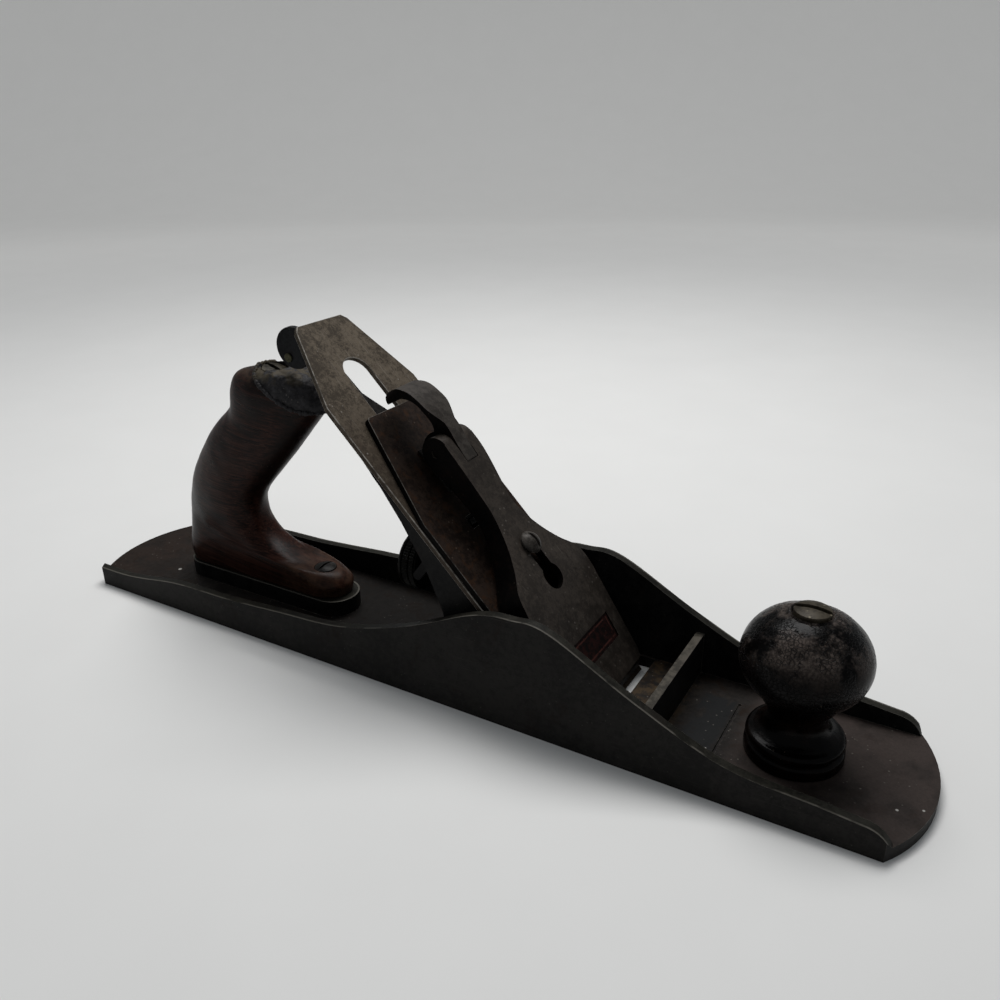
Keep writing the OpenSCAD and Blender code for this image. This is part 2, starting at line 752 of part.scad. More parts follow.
module cap_iron_screw()
    color(dark_steel)
        on_iron()
            translate([cap_screw_s, 0, 0])
                difference() {
                    union() {
                        translate([0, 0, -iron_thickness - cap_screw_head_h])
                            cylinder(d = cap_screw_head_d, h = cap_screw_head_h);
                        translate([0, 0, -iron_thickness - eps])
                            cylinder(d = cap_screw_d, h = iron_thickness + eps + cap_thickness + 0.6);
                    }
                    translate([-cap_screw_head_d, -0.8, -iron_thickness - cap_screw_head_h - eps])
                        cube([2 * cap_screw_head_d, 1.6, 1.6 + eps]);
                }

// Lever cap

lip_n = hump_height + clear;
cap_front_s = edge_setback + 4.6;
lever_cap_half = lever_cap_width / 2;
waist_half = waist_width / 2;
ear_half = 8.4;
cam_n = 13;
ear_r = 5.8;
// Height of the upper surface and half width, going up the iron
cap_top_line = concat([[cap_front_s, 4.6]],
    smooth([[48, 13.6], [53, 14.1], [60, 14.2], [lever_screw_s, 14.3], [75, 14.6], [82, 15.2],
            [90, 16.5], [98, 17.8], [104, 18.5], [cam_s, cam_n + ear_r]], 4));
cap_low_line = [[cam_s, cam_n - ear_r], [100, 8.6], [88, 8], [76, 6.6], [66, 4.6], [58, lip_n],
                [cap_front_s, lip_n]];
cap_half_line = concat([[cap_front_s, lever_cap_half - 1], [cap_front_s + 3, lever_cap_half]],
    smooth([[44, lever_cap_half], [53, lever_cap_half - 1.8], [60, lever_cap_half - 7.6],
            [67.5, waist_half + 4.6], [75, waist_half + 1.5], [82, waist_half],
            [90, waist_half + 0.6], [98, ear_half], [106, ear_half + 0.4], [cam_s + 6.5, ear_half]], 4));
function lowered(p, d) = [for (q = p) [q[0], q[1] - d]];
keyhole_at = lever_screw_s - keyhole_drop;
label_s = 17.5;
label_h = 10;
label_half = 17;
function top_n(s) = 4.6 + (s - cap_front_s) * 9 / (48 - cap_front_s);
cam_sweep = 10.2;

module lever_cap()
    color(cap_grey)
        on_iron()
            difference() {
                union() {
                    intersection() {
                        across(-lever_cap_half, lever_cap_half)
                            polygon(concat(cap_top_line, cap_low_line));
                        linear_extrude(40)
                            polygon(concat(cap_half_line, reversed(mirrored(cap_half_line))));
                    }
                    translate([cam_s, 0, cam_n]) rod_y(ear_r, -ear_half, ear_half);
                }
                // Hollow underside
                intersection() {
                    across(-lever_cap_half, lever_cap_half)
                        polygon(concat(
                            [[cap_front_s + 10, lip_n - eps], [cap_front_s + 10, top_n(cap_front_s + 10) - 2.8],
                             [48, 13.6 - 2.8]],
                            lowered([[60, 14.2], [lever_screw_s, 14.3], [75, 14.6], [82, 15.2], [90, 16.5],
                                     [98, 17.8], [104, 18.5]], 3.2),
                            [[104, lip_n - eps]]));
                    linear_extrude(40)
                        polygon(concat(lowered(cap_half_line, cap_wall),
                                       reversed(mirrored(lowered(cap_half_line, cap_wall)))));
                }
                // Keyhole
                translate([0, 0, lip_n])
                    linear_extrude(40) {
                        bar([keyhole_at, 0], [lever_screw_s, 0], lever_screw_d / 2 + 0.35);
                        translate([keyhole_at, 0]) circle(lever_screw_head_d / 2 + 0.7);
                    }
                // Sunk panel on the lower plate
                across(-label_half, label_half)
                    polygon([[label_s, top_n(label_s) - 0.4], [label_s + label_h, top_n(label_s + label_h) - 0.4],
                             [label_s + label_h, top_n(label_s + label_h) + 2],
                             [label_s, top_n(label_s) + 2]]);
                // Slot between the ears for the cam
                translate([cam_s, 0, cam_n])
                    rod_y(cam_sweep + clear, -neck_width / 2 - clear, neck_width / 2 + clear);
                translate([cam_s, -neck_width / 2 - clear, 0])
                    cube([20, neck_width + 2 * clear, 40]);
                translate([cam_s, 0, cam_n])
                    rod_y(cam_pin_r + fit, -ear_half - eps, ear_half + eps);
                translate([spring_rivet_s, 0, 0]) cylinder(r = spring_rivet_r + fit, h = 15.8);
            }

// Cam lever, its pin and the leaf spring under it

cam_pin_r = 1.6;
cam_r = 7.6;
cam_offset = 1.7;
thumb_outer = smooth([[cam_s - 9, cam_n + 5.1], [cam_s - 3, cam_n + 6], [cam_s + 4, cam_n + 7.4],
                      [cam_s + 11, cam_n + 7.6], [cam_s + 17, cam_n + 7.1], [cam_s + 22.6, cam_n + 5.6],
                      [cam_s + 26.2, cam_n + 2.7], [cam_s + 27.8, cam_n - 0.6],
                      [cam_s + 28.4, cam_n - 4.2]], 5);
arch_at = [cam_s + 14.8, cam_n - 4.4];
arch_r = 10;
neck_plan = smooth([[cam_s + 6.5, neck_width / 2], [cam_s + 9, neck_width / 2 + 1.2],
                    [cam_s + 12, thumb_width / 2 - 0.8], [cam_s + 15, thumb_width / 2],
                    [cam_s + 22, thumb_width / 2], [cam_s + 26, thumb_width / 2 - 0.5],
                    [cam_s + 28.6, thumb_width / 2 - 2.6]], 4);

module cam_lever()
    color(cap_grey)
        on_iron()
            difference() {
                union() {
                    intersection() {
                        across(-thumb_width / 2, thumb_width / 2)
                            intersection() {
                                polygon(concat(thumb_outer, [[cam_s + 27.6, cam_n - 4.9]],
                                               arc(arch_at, arch_r, -2, 165, 24),
                                               [[cam_s, cam_n - 2], [cam_s - 9, cam_n - 2]]));
                                union() {
                                    translate([cam_s, cam_n]) circle(cam_sweep, $fn = 96);
                                    translate([cam_s, 0]) square([40, 40]);
                                }
                            }
                        linear_extrude(60)
                            polygon(concat([[cam_s - 20, neck_width / 2]], neck_plan,
                                           reversed(mirrored(neck_plan)), [[cam_s - 20, -neck_width / 2]]));
                    }
                    translate([cam_s, 0, cam_n - cam_offset])
                        rod_y(cam_r, -neck_width / 2, neck_width / 2);
                }
                translate([cam_s, 0, cam_n])
                    rod_y(cam_pin_r + fit, -neck_width, neck_width);
            }

module cam_pin()
    color(dark_steel)
        on_iron()
            translate([cam_s, 0, cam_n])
                rod_y(cam_pin_r, -ear_half + 0.4, ear_half - 0.4);

spring_rivet_s = 94;
spring_rivet_r = 1.3;
spring_n = cap_thickness + clear;
spring_h = 0.7;
spring_seat_n = 13.4;

module cam_spring()
    color(dark_steel)
        on_iron()
            difference() {
                across(-neck_width / 2, neck_width / 2)
                    polygon(concat([[spring_rivet_s - 3, spring_seat_n], [spring_rivet_s - 3, spring_seat_n - spring_h]],
                                   [[spring_rivet_s + 2, spring_seat_n - spring_h],
                                    [cam_s - 13, spring_n], [cam_s + 6, spring_n],
                                    [cam_s + 6, spring_n + spring_h], [cam_s - 12.6, spring_n + spring_h],
                                    [spring_rivet_s + 2.6, spring_seat_n]]));
                translate([spring_rivet_s, 0, 0]) cylinder(r = spring_rivet_r + fit, h = 20);
            }

module spring_rivet()
    color(dark_steel)
        on_iron()
            translate([spring_rivet_s, 0, 0]) {
                translate([0, 0, spring_seat_n - spring_h - 0.6]) cylinder(r = spring_rivet_r + 0.6, h = 0.6);
                translate([0, 0, spring_seat_n - spring_h - 0.3]) cylinder(r = spring_rivet_r, h = 2.8);
            }

module lever_cap_screw()
    color(brown_steel)
        on_iron()
            translate([lever_screw_s, 0, 0])
                difference() {
                    union() {
                        translate([0, 0, 0.4 - lever_screw_depth])
                            cylinder(d = lever_screw_d, h = lever_screw_depth + 14.6);
                        translate([0, 0, 14.5])
                            rotate_extrude()
                                polygon(concat([[0, 0], [lever_screw_head_d / 2 - 0.3, 0]],
                                               arc([0, -1.4], lever_screw_head_d / 2 + 0.75, 28, 90, 8)));
                    }
                    translate([-lever_screw_head_d, -0.6, 16.8])
                        cube([2 * lever_screw_head_d, 1.2, 3]);
                }

// Handle

// Sections of the handle from its foot up: x and z of the front edge, x and z of the back
// edge, half the thickness, and the length of the rounding at each end
tote_half = tote_thickness / 2;
tote_sections = smooth([
    [-51.4, tote_pad_z, -136.4, tote_pad_z, tote_half - 2.2, 11],
    [-50.8, tote_pad_z + 1.4, -137.2, tote_pad_z + 1.4, tote_half - 1.5, 11],
    [-50.8, 17, -137.8, 18.5, tote_half - 1.4, 11],
    [-56, 21, -137.4, 26, tote_half - 1.3, 20],
    [-68.5, 21.9, -136.6, 34, tote_half - 1, 34],
    [-82.4, 26.2, -134, 44, tote_half - 0.6, 40],
    [-90.8, 32.2, -129.4, 55, tote_half - 0.2, 40],
    [-94, 38, -122.6, 65.6, tote_half, 40],
    [-94.5, 43, -115.6, 74.4, tote_half, 40],
    [-92.7, 47.8, -109.4, 80.2, tote_half, 40],
    [-88.9, 52.8, -104.2, 84.7, tote_half, 40],
    [-78.7, 63.6, -100.7, 89.2, tote_half, 40],
    [-65.7, 77.8, -100.3, 96.1, tote_half, 40],
    [-57, 87.6, -97, 101.6, tote_half, 40],
    [-53.3, 93.3, -88.4, 104.6, tote_half - 0.3, 40],
    [-54.6, 99, -79.4, 107, tote_half - 1.4, 40],
    [-58.7, 103, -72.1, 106.9, tote_half - 4, 40],
    [-62.1, 104.6, -67.3, 105.9, tote_half - 7.5, 40]], 2);
tote_sides = 24;
function tote_ring(q) =
    let (end = min(1, 2 * q[5] / norm([q[0] - q[2], q[1] - q[3]])))
        [for (i = [0 : tote_sides - 1])
            let (a = 360 * i / tote_sides, u = (cos(a) < 0 ? end - 1 : 1 - end) + end * cos(a))
                [(q[0] + q[2]) / 2 + u * (q[0] - q[2]) / 2, q[4] * sin(a),
                 (q[1] + q[3]) / 2 + u * (q[1] - q[3]) / 2]];

module tote_solid()
    polyhedron(
        points = [for (q = tote_sections) for (w = tote_ring(q)) w],
        faces = concat(
            [[for (i = [0 : tote_sides - 1]) i]],
            [for (k = [0 : len(tote_sections) - 2]) for (i = [0 : tote_sides - 1])
                let (a = k * tote_sides, j = (i + 1) % tote_sides)
                [a + i, a + tote_sides + i, a + tote_sides + j, a + j]],
            [[for (i = [tote_sides - 1 : -1 : 0]) (len(tote_sections) - 1) * tote_sides + i]]),
        convexity = 6);

// Everything above the line where the broken horn is built up again
horn_line = [[-90, 112], [-84, 106.4], [-81, 103.2], [-75.6, 99.6], [-68, 95.4], [-61, 91.9],
             [-52.7, 90.4], [-46, 90]];
module horn_side()
    across(-tote_thickness, tote_thickness)
        polygon(concat([[-40, 130], [-90, 130]], smooth(horn_line, 2), [[-40, 90]]));

toe_screw_head_d = 9;
toe_seat_z = 20;
nut_seat = rod_run - 0.6;
nut_shank_h = 6;
nut_shank_d = nut_d - 1.6;
module tote_holes() {
    on_rod() cylinder(d = rod_d + 0.6, h = rod_run + 20);
    on_rod() translate([0, 0, nut_seat]) nut_hole();
    translate([toe_screw_x, 0, 0]) cylinder(d = toe_screw_d + 0.4, h = 40);
    translate([toe_screw_x, 0, toe_seat_z]) cylinder(d = toe_screw_head_d + 0.4, h = 20);
}

module tote()
    color(rosewood)
        difference() {
            tote_solid();
            horn_side();
            tote_holes();
        }

module horn_repair()
    color(filler_grey)
        difference() {
            intersection() {
                tote_solid();
                horn_side();
            }
            tote_holes();
        }

module tote_rod()
    color(dark_steel)
        on_rod()
            translate([0, 0, -1])
                cylinder(d = rod_d, h = nut_seat - 0.7);

// A round nut that stands on its collar, and the stepped hole it sits in
module round_nut()
    difference() {
        union() {
            cylinder(d = nut_d, h = 1.8);
            translate([0, 0, -nut_shank_h]) cylinder(d = nut_shank_d, h = nut_shank_h);
            translate([0, 0, 1.8])
                rotate_extrude()
                    polygon(concat([[0, -eps], [nut_d / 2, -eps]],
                                   arc([0, -16], 17, 90 - asin(nut_d / 34), 90, 6)));
        }
        translate([0, 0, -nut_shank_h - eps])
            cylinder(d = rod_d + 2 * fit, h = nut_shank_h + eps - 1.5);
        translate([-nut_d, -1, 1.2]) cube([2 * nut_d, 2, 4]);
    }

module nut_hole() {
    translate([0, 0, -nut_shank_h - clear]) cylinder(d = nut_shank_d + 0.6, h = 20);
    cylinder(d = nut_d + 0.6, h = 30);
}

module tote_nut()
    color(brass)
        on_rod()
            translate([0, 0, nut_seat])
                round_nut();

module tote_toe_screw()
    color(dark_steel)
        translate([toe_screw_x, 0, 0])
            difference() {
                union() {
                    translate([0, 0, hole_floor + 0.4]) cylinder(d = toe_screw_d, h = 20);
                    translate([0, 0, toe_seat_z])
                        cylinder(d = toe_screw_head_d, h = 1.6);
                    translate([0, 0, toe_seat_z + 1.6])
                        rotate_extrude()
                            polygon(concat([[0, -eps], [toe_screw_head_d / 2, -eps]],
                                           arc([0, -8], 9.2, 90 - asin(toe_screw_head_d / 18.4), 90, 6)));
                }
                translate([-0.6, -toe_screw_head_d, toe_seat_z + 1.7])
                    cube([1.2, 2 * toe_screw_head_d, 2]);
            }

// Knob

knob_half_h = 16.7;
knob_nut_seat = knob_z + knob_half_h - 1.2;
foot_r = knob_foot_d / 2;
knob_line = concat(
    [[0, sole_thickness], [foot_r - 0.6, sole_thickness], [foot_r, sole_thickness + 1],
     [foot_r, sole_thickness + 3.4], [foot_r - 0.8, sole_thickness + 4.4],
     [foot_r - 1.8, sole_thickness + 4.8]],
    arc([foot_r - 2, sole_thickness + 6.8], 1.8, -90, 80, 6),
    smooth([[foot_r - 2.6, sole_thickness + 8.9], [foot_r - 5, sole_thickness + 10.6],
            [foot_r - 6.4, sole_thickness + 13.5], [foot_r - 6.2, sole_thickness + 17],
            [foot_r - 3.8, knob_z - 15.2]], 3),
    [for (a = [-50 : 8 : 70]) [knob_d / 2 * cos(a), knob_z + knob_half_h * sin(a)]],
    [[nut_d / 2 + 1.2, knob_z + knob_half_h - 0.3], [0, knob_z + knob_half_h - 0.3]]);

module knob()
    color(lacquer)
        translate([knob_x, 0, 0])
            difference() {
                rotate_extrude($fn = 96) polygon(knob_line);
                cylinder(d = knob_boss_d + 0.6, h = sole_thickness + knob_boss_h + 0.3);
                cylinder(d = rod_d + 0.6, h = 80);
                translate([0, 0, knob_nut_seat]) nut_hole();
            }

module knob_rod()
    color(dark_steel)
        translate([knob_x, 0, hole_floor + 0.4])
            cylinder(d = rod_d, h = knob_nut_seat - 1.6 - hole_floor - 0.4);

module knob_nut()
    color(brass)
        translate([knob_x, 0, knob_nut_seat])
            round_nut();

body();
frog();
frog_screws();
frog_washers();
adjusting_stud();
depth_wheel();
yoke();
yoke_pin();
lateral_lever();
lateral_rivet();
lateral_roller();
thumb_disc();
thumb_rivet();
iron();
cap_iron();
cap_iron_screw();
lever_cap_screw();
lever_cap();
cam_lever();
cam_pin();
cam_spring();
spring_rivet();
tote();
horn_repair();
tote_rod();
tote_nut();
tote_toe_screw();
knob();
knob_rod();
knob_nut();
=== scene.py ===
"""An old corrugated jack plane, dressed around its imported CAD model.

Lengths in this script are millimetres, in the plane's own frame: +X to the toe, +Y to the
left, +Z up, from the middle of the sole's underside. s runs up the iron from its edge and
n stands off the iron's upper face.
"""
import json
from math import cos, hypot, pi, radians, sin, sqrt

import bmesh
import bpy
from mathutils import Matrix, Vector, noise
from mathutils.bvhtree import BVHTree


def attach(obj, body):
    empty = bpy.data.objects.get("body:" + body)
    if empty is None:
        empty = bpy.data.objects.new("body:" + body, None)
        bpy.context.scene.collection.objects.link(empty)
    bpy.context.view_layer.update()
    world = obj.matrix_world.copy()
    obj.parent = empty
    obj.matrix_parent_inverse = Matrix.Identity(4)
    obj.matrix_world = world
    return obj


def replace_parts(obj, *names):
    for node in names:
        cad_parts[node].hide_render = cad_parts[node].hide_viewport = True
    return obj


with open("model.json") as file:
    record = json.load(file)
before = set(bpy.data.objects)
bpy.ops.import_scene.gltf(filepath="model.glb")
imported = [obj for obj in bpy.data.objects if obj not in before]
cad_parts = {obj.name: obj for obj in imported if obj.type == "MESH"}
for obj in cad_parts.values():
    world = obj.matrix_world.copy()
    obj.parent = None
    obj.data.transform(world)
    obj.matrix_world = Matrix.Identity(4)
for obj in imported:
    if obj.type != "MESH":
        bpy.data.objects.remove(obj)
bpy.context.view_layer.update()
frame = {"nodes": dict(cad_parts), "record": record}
MM = 0.001
BODY_OF = {node: body for body, nodes in frame["record"]["behaviour"]["bodies"].items()
           for node in nodes}


# Sizes that more than one piece needs. BED is the sine, and the cosine, of the bed's slope.

MOUTH_X = 71
BED = cos(radians(45))
OFF_IRON = Vector((BED, 0, BED))
SOLE_THICKNESS = 4.5
WALL_OUTER = 62.2 / 2
WALL_INNER = WALL_OUTER - 3.4
RIB_X, RIB_THICKNESS, RIB_HEIGHT = 89.7, 3.0, 21.0
PAD_TOP = SOLE_THICKNESS + 6.9
PAD_X, PAD_REACH, PAD_R = -92.45, 34.65, 10.2
ROD_HOLE_R = 3.1
NUT_D = 11.4
PANEL_LOW, PANEL_HIGH, PANEL_HALF = 17.6, 27.4, 16.9
NUT_HOLE_R, NUT_SHANK_R, NUT_SHANK_DEPTH = NUT_D / 2 + 0.3, NUT_D / 2 - 0.5, 6.3


def smooth(points, steps):
    """A curve through points, with that many steps between each two."""
    last = len(points) - 1
    curve = []
    for i in range(last):
        a, b, c, d = (points[k] for k in (max(i - 1, 0), i, i + 1, min(i + 2, last)))
        for step in range(steps):
            t = step / steps
            curve.append([0.5 * (2 * q + (r - p) * t + (2 * p - 5 * q + 4 * r - w) * t * t
                                 + (3 * q - p - 3 * r + w) * t ** 3)
                          for p, q, r, w in zip(a, b, c, d)])
    return curve + [list(points[last])]


# Making and finishing pieces

def new_piece(name, points, faces=(), edges=()):
    """A mesh piece from points in millimetres."""
    mesh = bpy.data.meshes.new(name)
    mesh.from_pydata([Vector(p) * MM for p in points], edges, faces)
    piece = bpy.data.objects.new(name, mesh)
    bpy.context.scene.collection.objects.link(piece)
    return piece


def outward(piece):
    """Merges the piece's doubles and points its faces outwards."""
    shape = bmesh.new()
    shape.from_mesh(piece.data)
    bmesh.ops.remove_doubles(shape, verts=shape.verts, dist=0.002 * MM)
    bmesh.ops.recalc_face_normals(shape, faces=shape.faces)
    shape.to_mesh(piece.data)
    shape.free()
    return piece


def shade(piece, crease=35):
    """Smooth shading that stays sharp at edges steeper than crease degrees."""
    piece.data.shade_smooth()
    piece.data.set_sharp_from_angle(angle=radians(crease))


def coats(piece, *materials):
    """Gives the piece these materials, in the order of its material slots."""
    piece.data.materials.clear()
    for material in materials:
        piece.data.materials.append(material)


def ride_with(piece, node):
    """The piece moves with a CAD node's body."""
    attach(piece, BODY_OF[node])
    return piece


def stand_for(piece, node):
    """The piece rides with a CAD node and is shown in its place."""
    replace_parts(ride_with(piece, node), node)
    return piece


def ease_edges(piece, width):
    """Rounds the piece's edges, and gives the rounded strips its material slot 1."""
    bevel = piece.modifiers.new("eased edges", "BEVEL")
    bevel.width = width * MM
    bevel.segments = 2
    bevel.limit_method = "ANGLE"
    bevel.angle_limit = radians(32)
    bevel.use_clamp_overlap = True
    bevel.harden_normals = False
    bevel.miter_outer = "MITER_ARC"
    bevel.material = 1
    even = piece.modifiers.new("even shading", "WEIGHTED_NORMAL")
    even.keep_sharp = True
    even.weight = 60


def from_node(node, name):
    """A copy of a CAD node's mesh, with its seams merged and its flat faces joined."""
    mesh = frame["nodes"][node].data.copy()
    mesh.name = name
    shape = bmesh.new()
    shape.from_mesh(mesh)
    bmesh.ops.remove_doubles(shape, verts=shape.verts, dist=0.002 * MM)
    bmesh.ops.dissolve_limit(shape, angle_limit=radians(0.4), verts=shape.verts,
                             edges=shape.edges)
    shape.to_mesh(mesh)
    shape.free()
    piece = bpy.data.objects.new(name, mesh)
    bpy.context.scene.collection.objects.link(piece)
    return piece


def evaluated(piece):
    """Turns the piece's modifiers into its mesh."""
    graph = bpy.context.evaluated_depsgraph_get()
    mesh = bpy.data.meshes.new_from_object(piece.evaluated_get(graph))
    piece.modifiers.clear()
    piece.data = mesh
    return piece


def carve(piece, cutter, operation="DIFFERENCE"):
    """Cuts the piece with another one, or keeps only what the two share."""
    cut = piece.modifiers.new("cut", "BOOLEAN")
    cut.operation = operation
    cut.solver = "EXACT"
    cut.object = cutter
    evaluated(piece)
    bpy.data.objects.remove(cutter)
    return piece


def paint_faces(piece, choose):
    """Gives each face the material slot that choose makes of its middle and normal, in mm."""
    for face in piece.data.polygons:
        face.material_index = choose(face.center / MM, face.normal)


def lathe(name, outline, place, sides, axis="Z"):
    """A closed outline of radius and height, turned about an axis through place."""
    count = len(outline)
    points = []
    for i in range(sides):
        a = 2 * pi * i / sides
        for r, h in outline:
            turned = (r * cos(a), r * sin(a), h) if axis == "Z" else (h, r * cos(a), r * sin(a))
            points.append(Vector(turned) + Vector(place))
    faces = [(i * count + k, (i + 1) % sides * count + k,
              (i + 1) % sides * count + (k + 1) % count, i * count + (k + 1) % count)
             for i in range(sides) for k in range(count)]
    return outward(new_piece(name, points, faces))


def rod(name, start, end, radius, sides=64):
    """A plain rod between two points."""
    start, end = Vector(start), Vector(end)
    turn = (end - start).to_track_quat("Z", "Y")
    ring = [turn @ Vector((radius * cos(2 * pi * i / sides), radius * sin(2 * pi * i / sides), 0))
            for i in range(sides)]
    points = [start + p for p in ring] + [end + p for p in ring]
    faces = [tuple(range(sides)), tuple(range(sides, 2 * sides))]
    faces += [(i, (i + 1) % sides, sides + (i + 1) % sides, sides + i) for i in range(sides)]
    return outward(new_piece(name, points, faces))


def prism(name, outline, half):
    """A side outline of x and z, as thick as half to each side."""
    count = len(outline)
    points = [(x, y, z) for y in (-half, half) for x, z in outline]
    faces = [tuple(range(count)), tuple(range(count, 2 * count))]
    faces += [(i, (i + 1) % count, count + (i + 1) % count, count + i) for i in range(count)]
    return outward(new_piece(name, points, faces))


# Node trees of the finishes and of what repeats

class Wire:
    """A value in a node tree. Arithmetic on it adds Math nodes."""

    def __init__(self, owner, socket):
        self.owner = owner
        self.socket = socket

    def math(self, operation, *values):
        node = self.owner.tree.nodes.new("ShaderNodeMath")
        node.operation = operation
        for socket, value in zip(node.inputs, values):
            self.owner.plug(socket, value)
        return Wire(self.owner, node.outputs[0])

    def __add__(self, other):
        return self.math("ADD", self, other)

    def __sub__(self, other):
        return self.math("SUBTRACT", self, other)

    def __rsub__(self, other):
        return self.math("SUBTRACT", other, self)

    def __mul__(self, other):
        return self.math("MULTIPLY", self, other)

    def __truediv__(self, other):
        return self.math("DIVIDE", self, other)

    def __rtruediv__(self, other):
        return self.math("DIVIDE", other, self)

    __radd__ = __add__
    __rmul__ = __mul__

    def size(self):
        return self.math("ABSOLUTE", self)

    def root(self):
        return self.math("SQRT", self)

    def most(self, other):
        return self.math("MAXIMUM", self, other)

    def rise(self, low, high):
        """0 below low, 1 above high, with a soft step between; falls where low is above high."""
        return self.owner.node("ShaderNodeMapRange", {"interpolation_type": "SMOOTHSTEP"},
                               Value=self, From_Min=low, From_Max=high)

    def strip(self, low, high, soft):
        """1 between low and high, with soft ends."""
        return self.rise(low - soft, low + soft) * self.rise(high + soft, high - soft)


class Nodes:
    """A node tree with one method that adds its nodes."""

    def plug(self, socket, value):
        if isinstance(value, Wire):
            self.tree.links.new(value.socket, socket)
        elif isinstance(value, (tuple, list)) and socket.type == "RGBA":
            socket.default_value = (*value[:3], 1.0)
        else:
            socket.default_value = value

    def node(self, kind, settings=None, output=0, **values):
        """Adds a node: its settings first, then the values or links of its sockets."""
        node = self.tree.nodes.new(kind)
        for key, value in (settings or {}).items():
            setattr(node, key, value)
        for key, value in values.items():
            name = key.replace("_", " ")
            self.plug(next(s for s in node.inputs if s.name == name and s.enabled), value)
        return Wire(self, node.outputs[output])


class Finish(Nodes):
    """A procedural material in millimetres of the piece's own object coordinates."""

    def __init__(self, name):
        self.material = bpy.data.materials.new(name)
        self.material.use_nodes = True
        self.tree = self.material.node_tree
        self.shader = self.tree.nodes["Principled BSDF"]
        place = self.node("ShaderNodeTexCoord", output="Object")
        self.here = self.node("ShaderNodeVectorMath", {"operation": "SCALE"}, output="Vector",
                              Vector=place, Scale=1 / MM)
        parts = self.tree.nodes.new("ShaderNodeSeparateXYZ")
        self.plug(parts.inputs[0], self.here)
        self.x, self.y, self.z = (Wire(self, parts.outputs[k]) for k in range(3))
        self.s = (self.z - self.x + MOUTH_X) * BED
        self.n = (self.x + self.z - MOUTH_X) * BED

    def stretched(self, size, turn=(0, 0, 0)):
        """The piece's coordinates, turned by degrees and divided by a size each way."""
        turned = self.node("ShaderNodeMapping", output="Vector", Vector=self.here,
                           Rotation=tuple(radians(v) for v in turn))
        return self.node("ShaderNodeMapping", output="Vector", Vector=turned,
                         Scale=tuple(1 / v for v in size))

    def noise(self, size, detail=4, rough=0.55, where=None, twist=0.0):
        return self.node("ShaderNodeTexNoise", output="Fac", Vector=where or self.here,
                         Scale=1 / size, Detail=detail, Roughness=rough, Distortion=twist)

    def cells(self, size, feature="F1", where=None):
        return self.node("ShaderNodeTexVoronoi", {"feature": feature}, output="Distance",
                         Vector=where or self.here, Scale=1 / size)

    def specks(self, size, share, patch=9):
        """Small round specks, crowded in some places and missing in others."""
        return self.cells(size).rise(share, share * 0.5) * self.noise(patch, 2).rise(0.5, 0.6)

    def scratches(self, size, turn=(0, 0, 0), share=0.68):
        """Fine lines along one direction, in patches."""
        lines = self.noise(1, 1, 0.5, self.stretched(size, turn)).rise(share, share + 0.03)
        return lines * self.noise(16, 2).rise(0.46, 0.6)

    def blend(self, mask, below, above):
        """The colour below, with the colour above where the mask is 1."""
        node = self.tree.nodes.new("ShaderNodeMix")
        node.data_type = "RGBA"
        sockets = {s.identifier: s for s in node.inputs}
        self.plug(sockets["Factor_Float"], mask)
        self.plug(sockets["A_Color"], below)
        self.plug(sockets["B_Color"], above)
        return Wire(self, next(s for s in node.outputs if s.identifier == "Result_Color"))

    def relief(self, height, depth, strength=1.0):
        """Bumps the surface by a height of 0 to 1 that stands depth millimetres."""
        return self.node("ShaderNodeBump", output="Normal", Height=height,
                         Distance=depth * MM, Strength=strength)

    def done(self, **sockets):
        for key, value in sockets.items():
            self.plug(self.shader.inputs[key.replace("_", " ")], value)
        return self.material


class Pattern(Nodes):
    """A Geometry Nodes tree with named inputs, turned into plain meshes."""

    def __init__(self, name, **inputs):
        self.tree = bpy.data.node_groups.new(name, "GeometryNodeTree")
        self.tree.interface.new_socket("Geometry", in_out="INPUT",
                                       socket_type="NodeSocketGeometry")
        self.tree.interface.new_socket("Geometry", in_out="OUTPUT",
                                       socket_type="NodeSocketGeometry")
        for label, value in inputs.items():
            kind = "NodeSocketInt" if isinstance(value, int) else "NodeSocketFloat"
            socket = self.tree.interface.new_socket(label, in_out="INPUT", socket_type=kind)
            socket.default_value = value
        self.source = self.tree.nodes.new("NodeGroupInput")

    def __getitem__(self, label):
        return Wire(self, self.source.outputs[label])

    def combined(self, x=0.0, y=0.0, z=0.0):
        return self.node("ShaderNodeCombineXYZ", X=x, Y=y, Z=z)

    def end(self, geometry, material):
        whole = self.node("GeometryNodeRealizeInstances", Geometry=geometry)
        coated = self.node("GeometryNodeSetMaterial", Geometry=whole)
        coated.socket.node.inputs["Material"].default_value = material
        finish = self.tree.nodes.new("NodeGroupOutput")
        self.tree.links.new(coated.socket, finish.inputs[0])

    def made(self, name, base=None, **values):
        """A mesh piece of the pattern; base is the piece that it grows from."""
        piece = base or new_piece(name, [])
        grown = piece.modifiers.new(name, "NODES")
        grown.node_group = self.tree
        for socket in self.tree.interface.items_tree:
            if socket.in_out == "INPUT" and socket.name in values:
                grown[socket.identifier] = values[socket.name]
        return evaluated(piece)


# Finishes

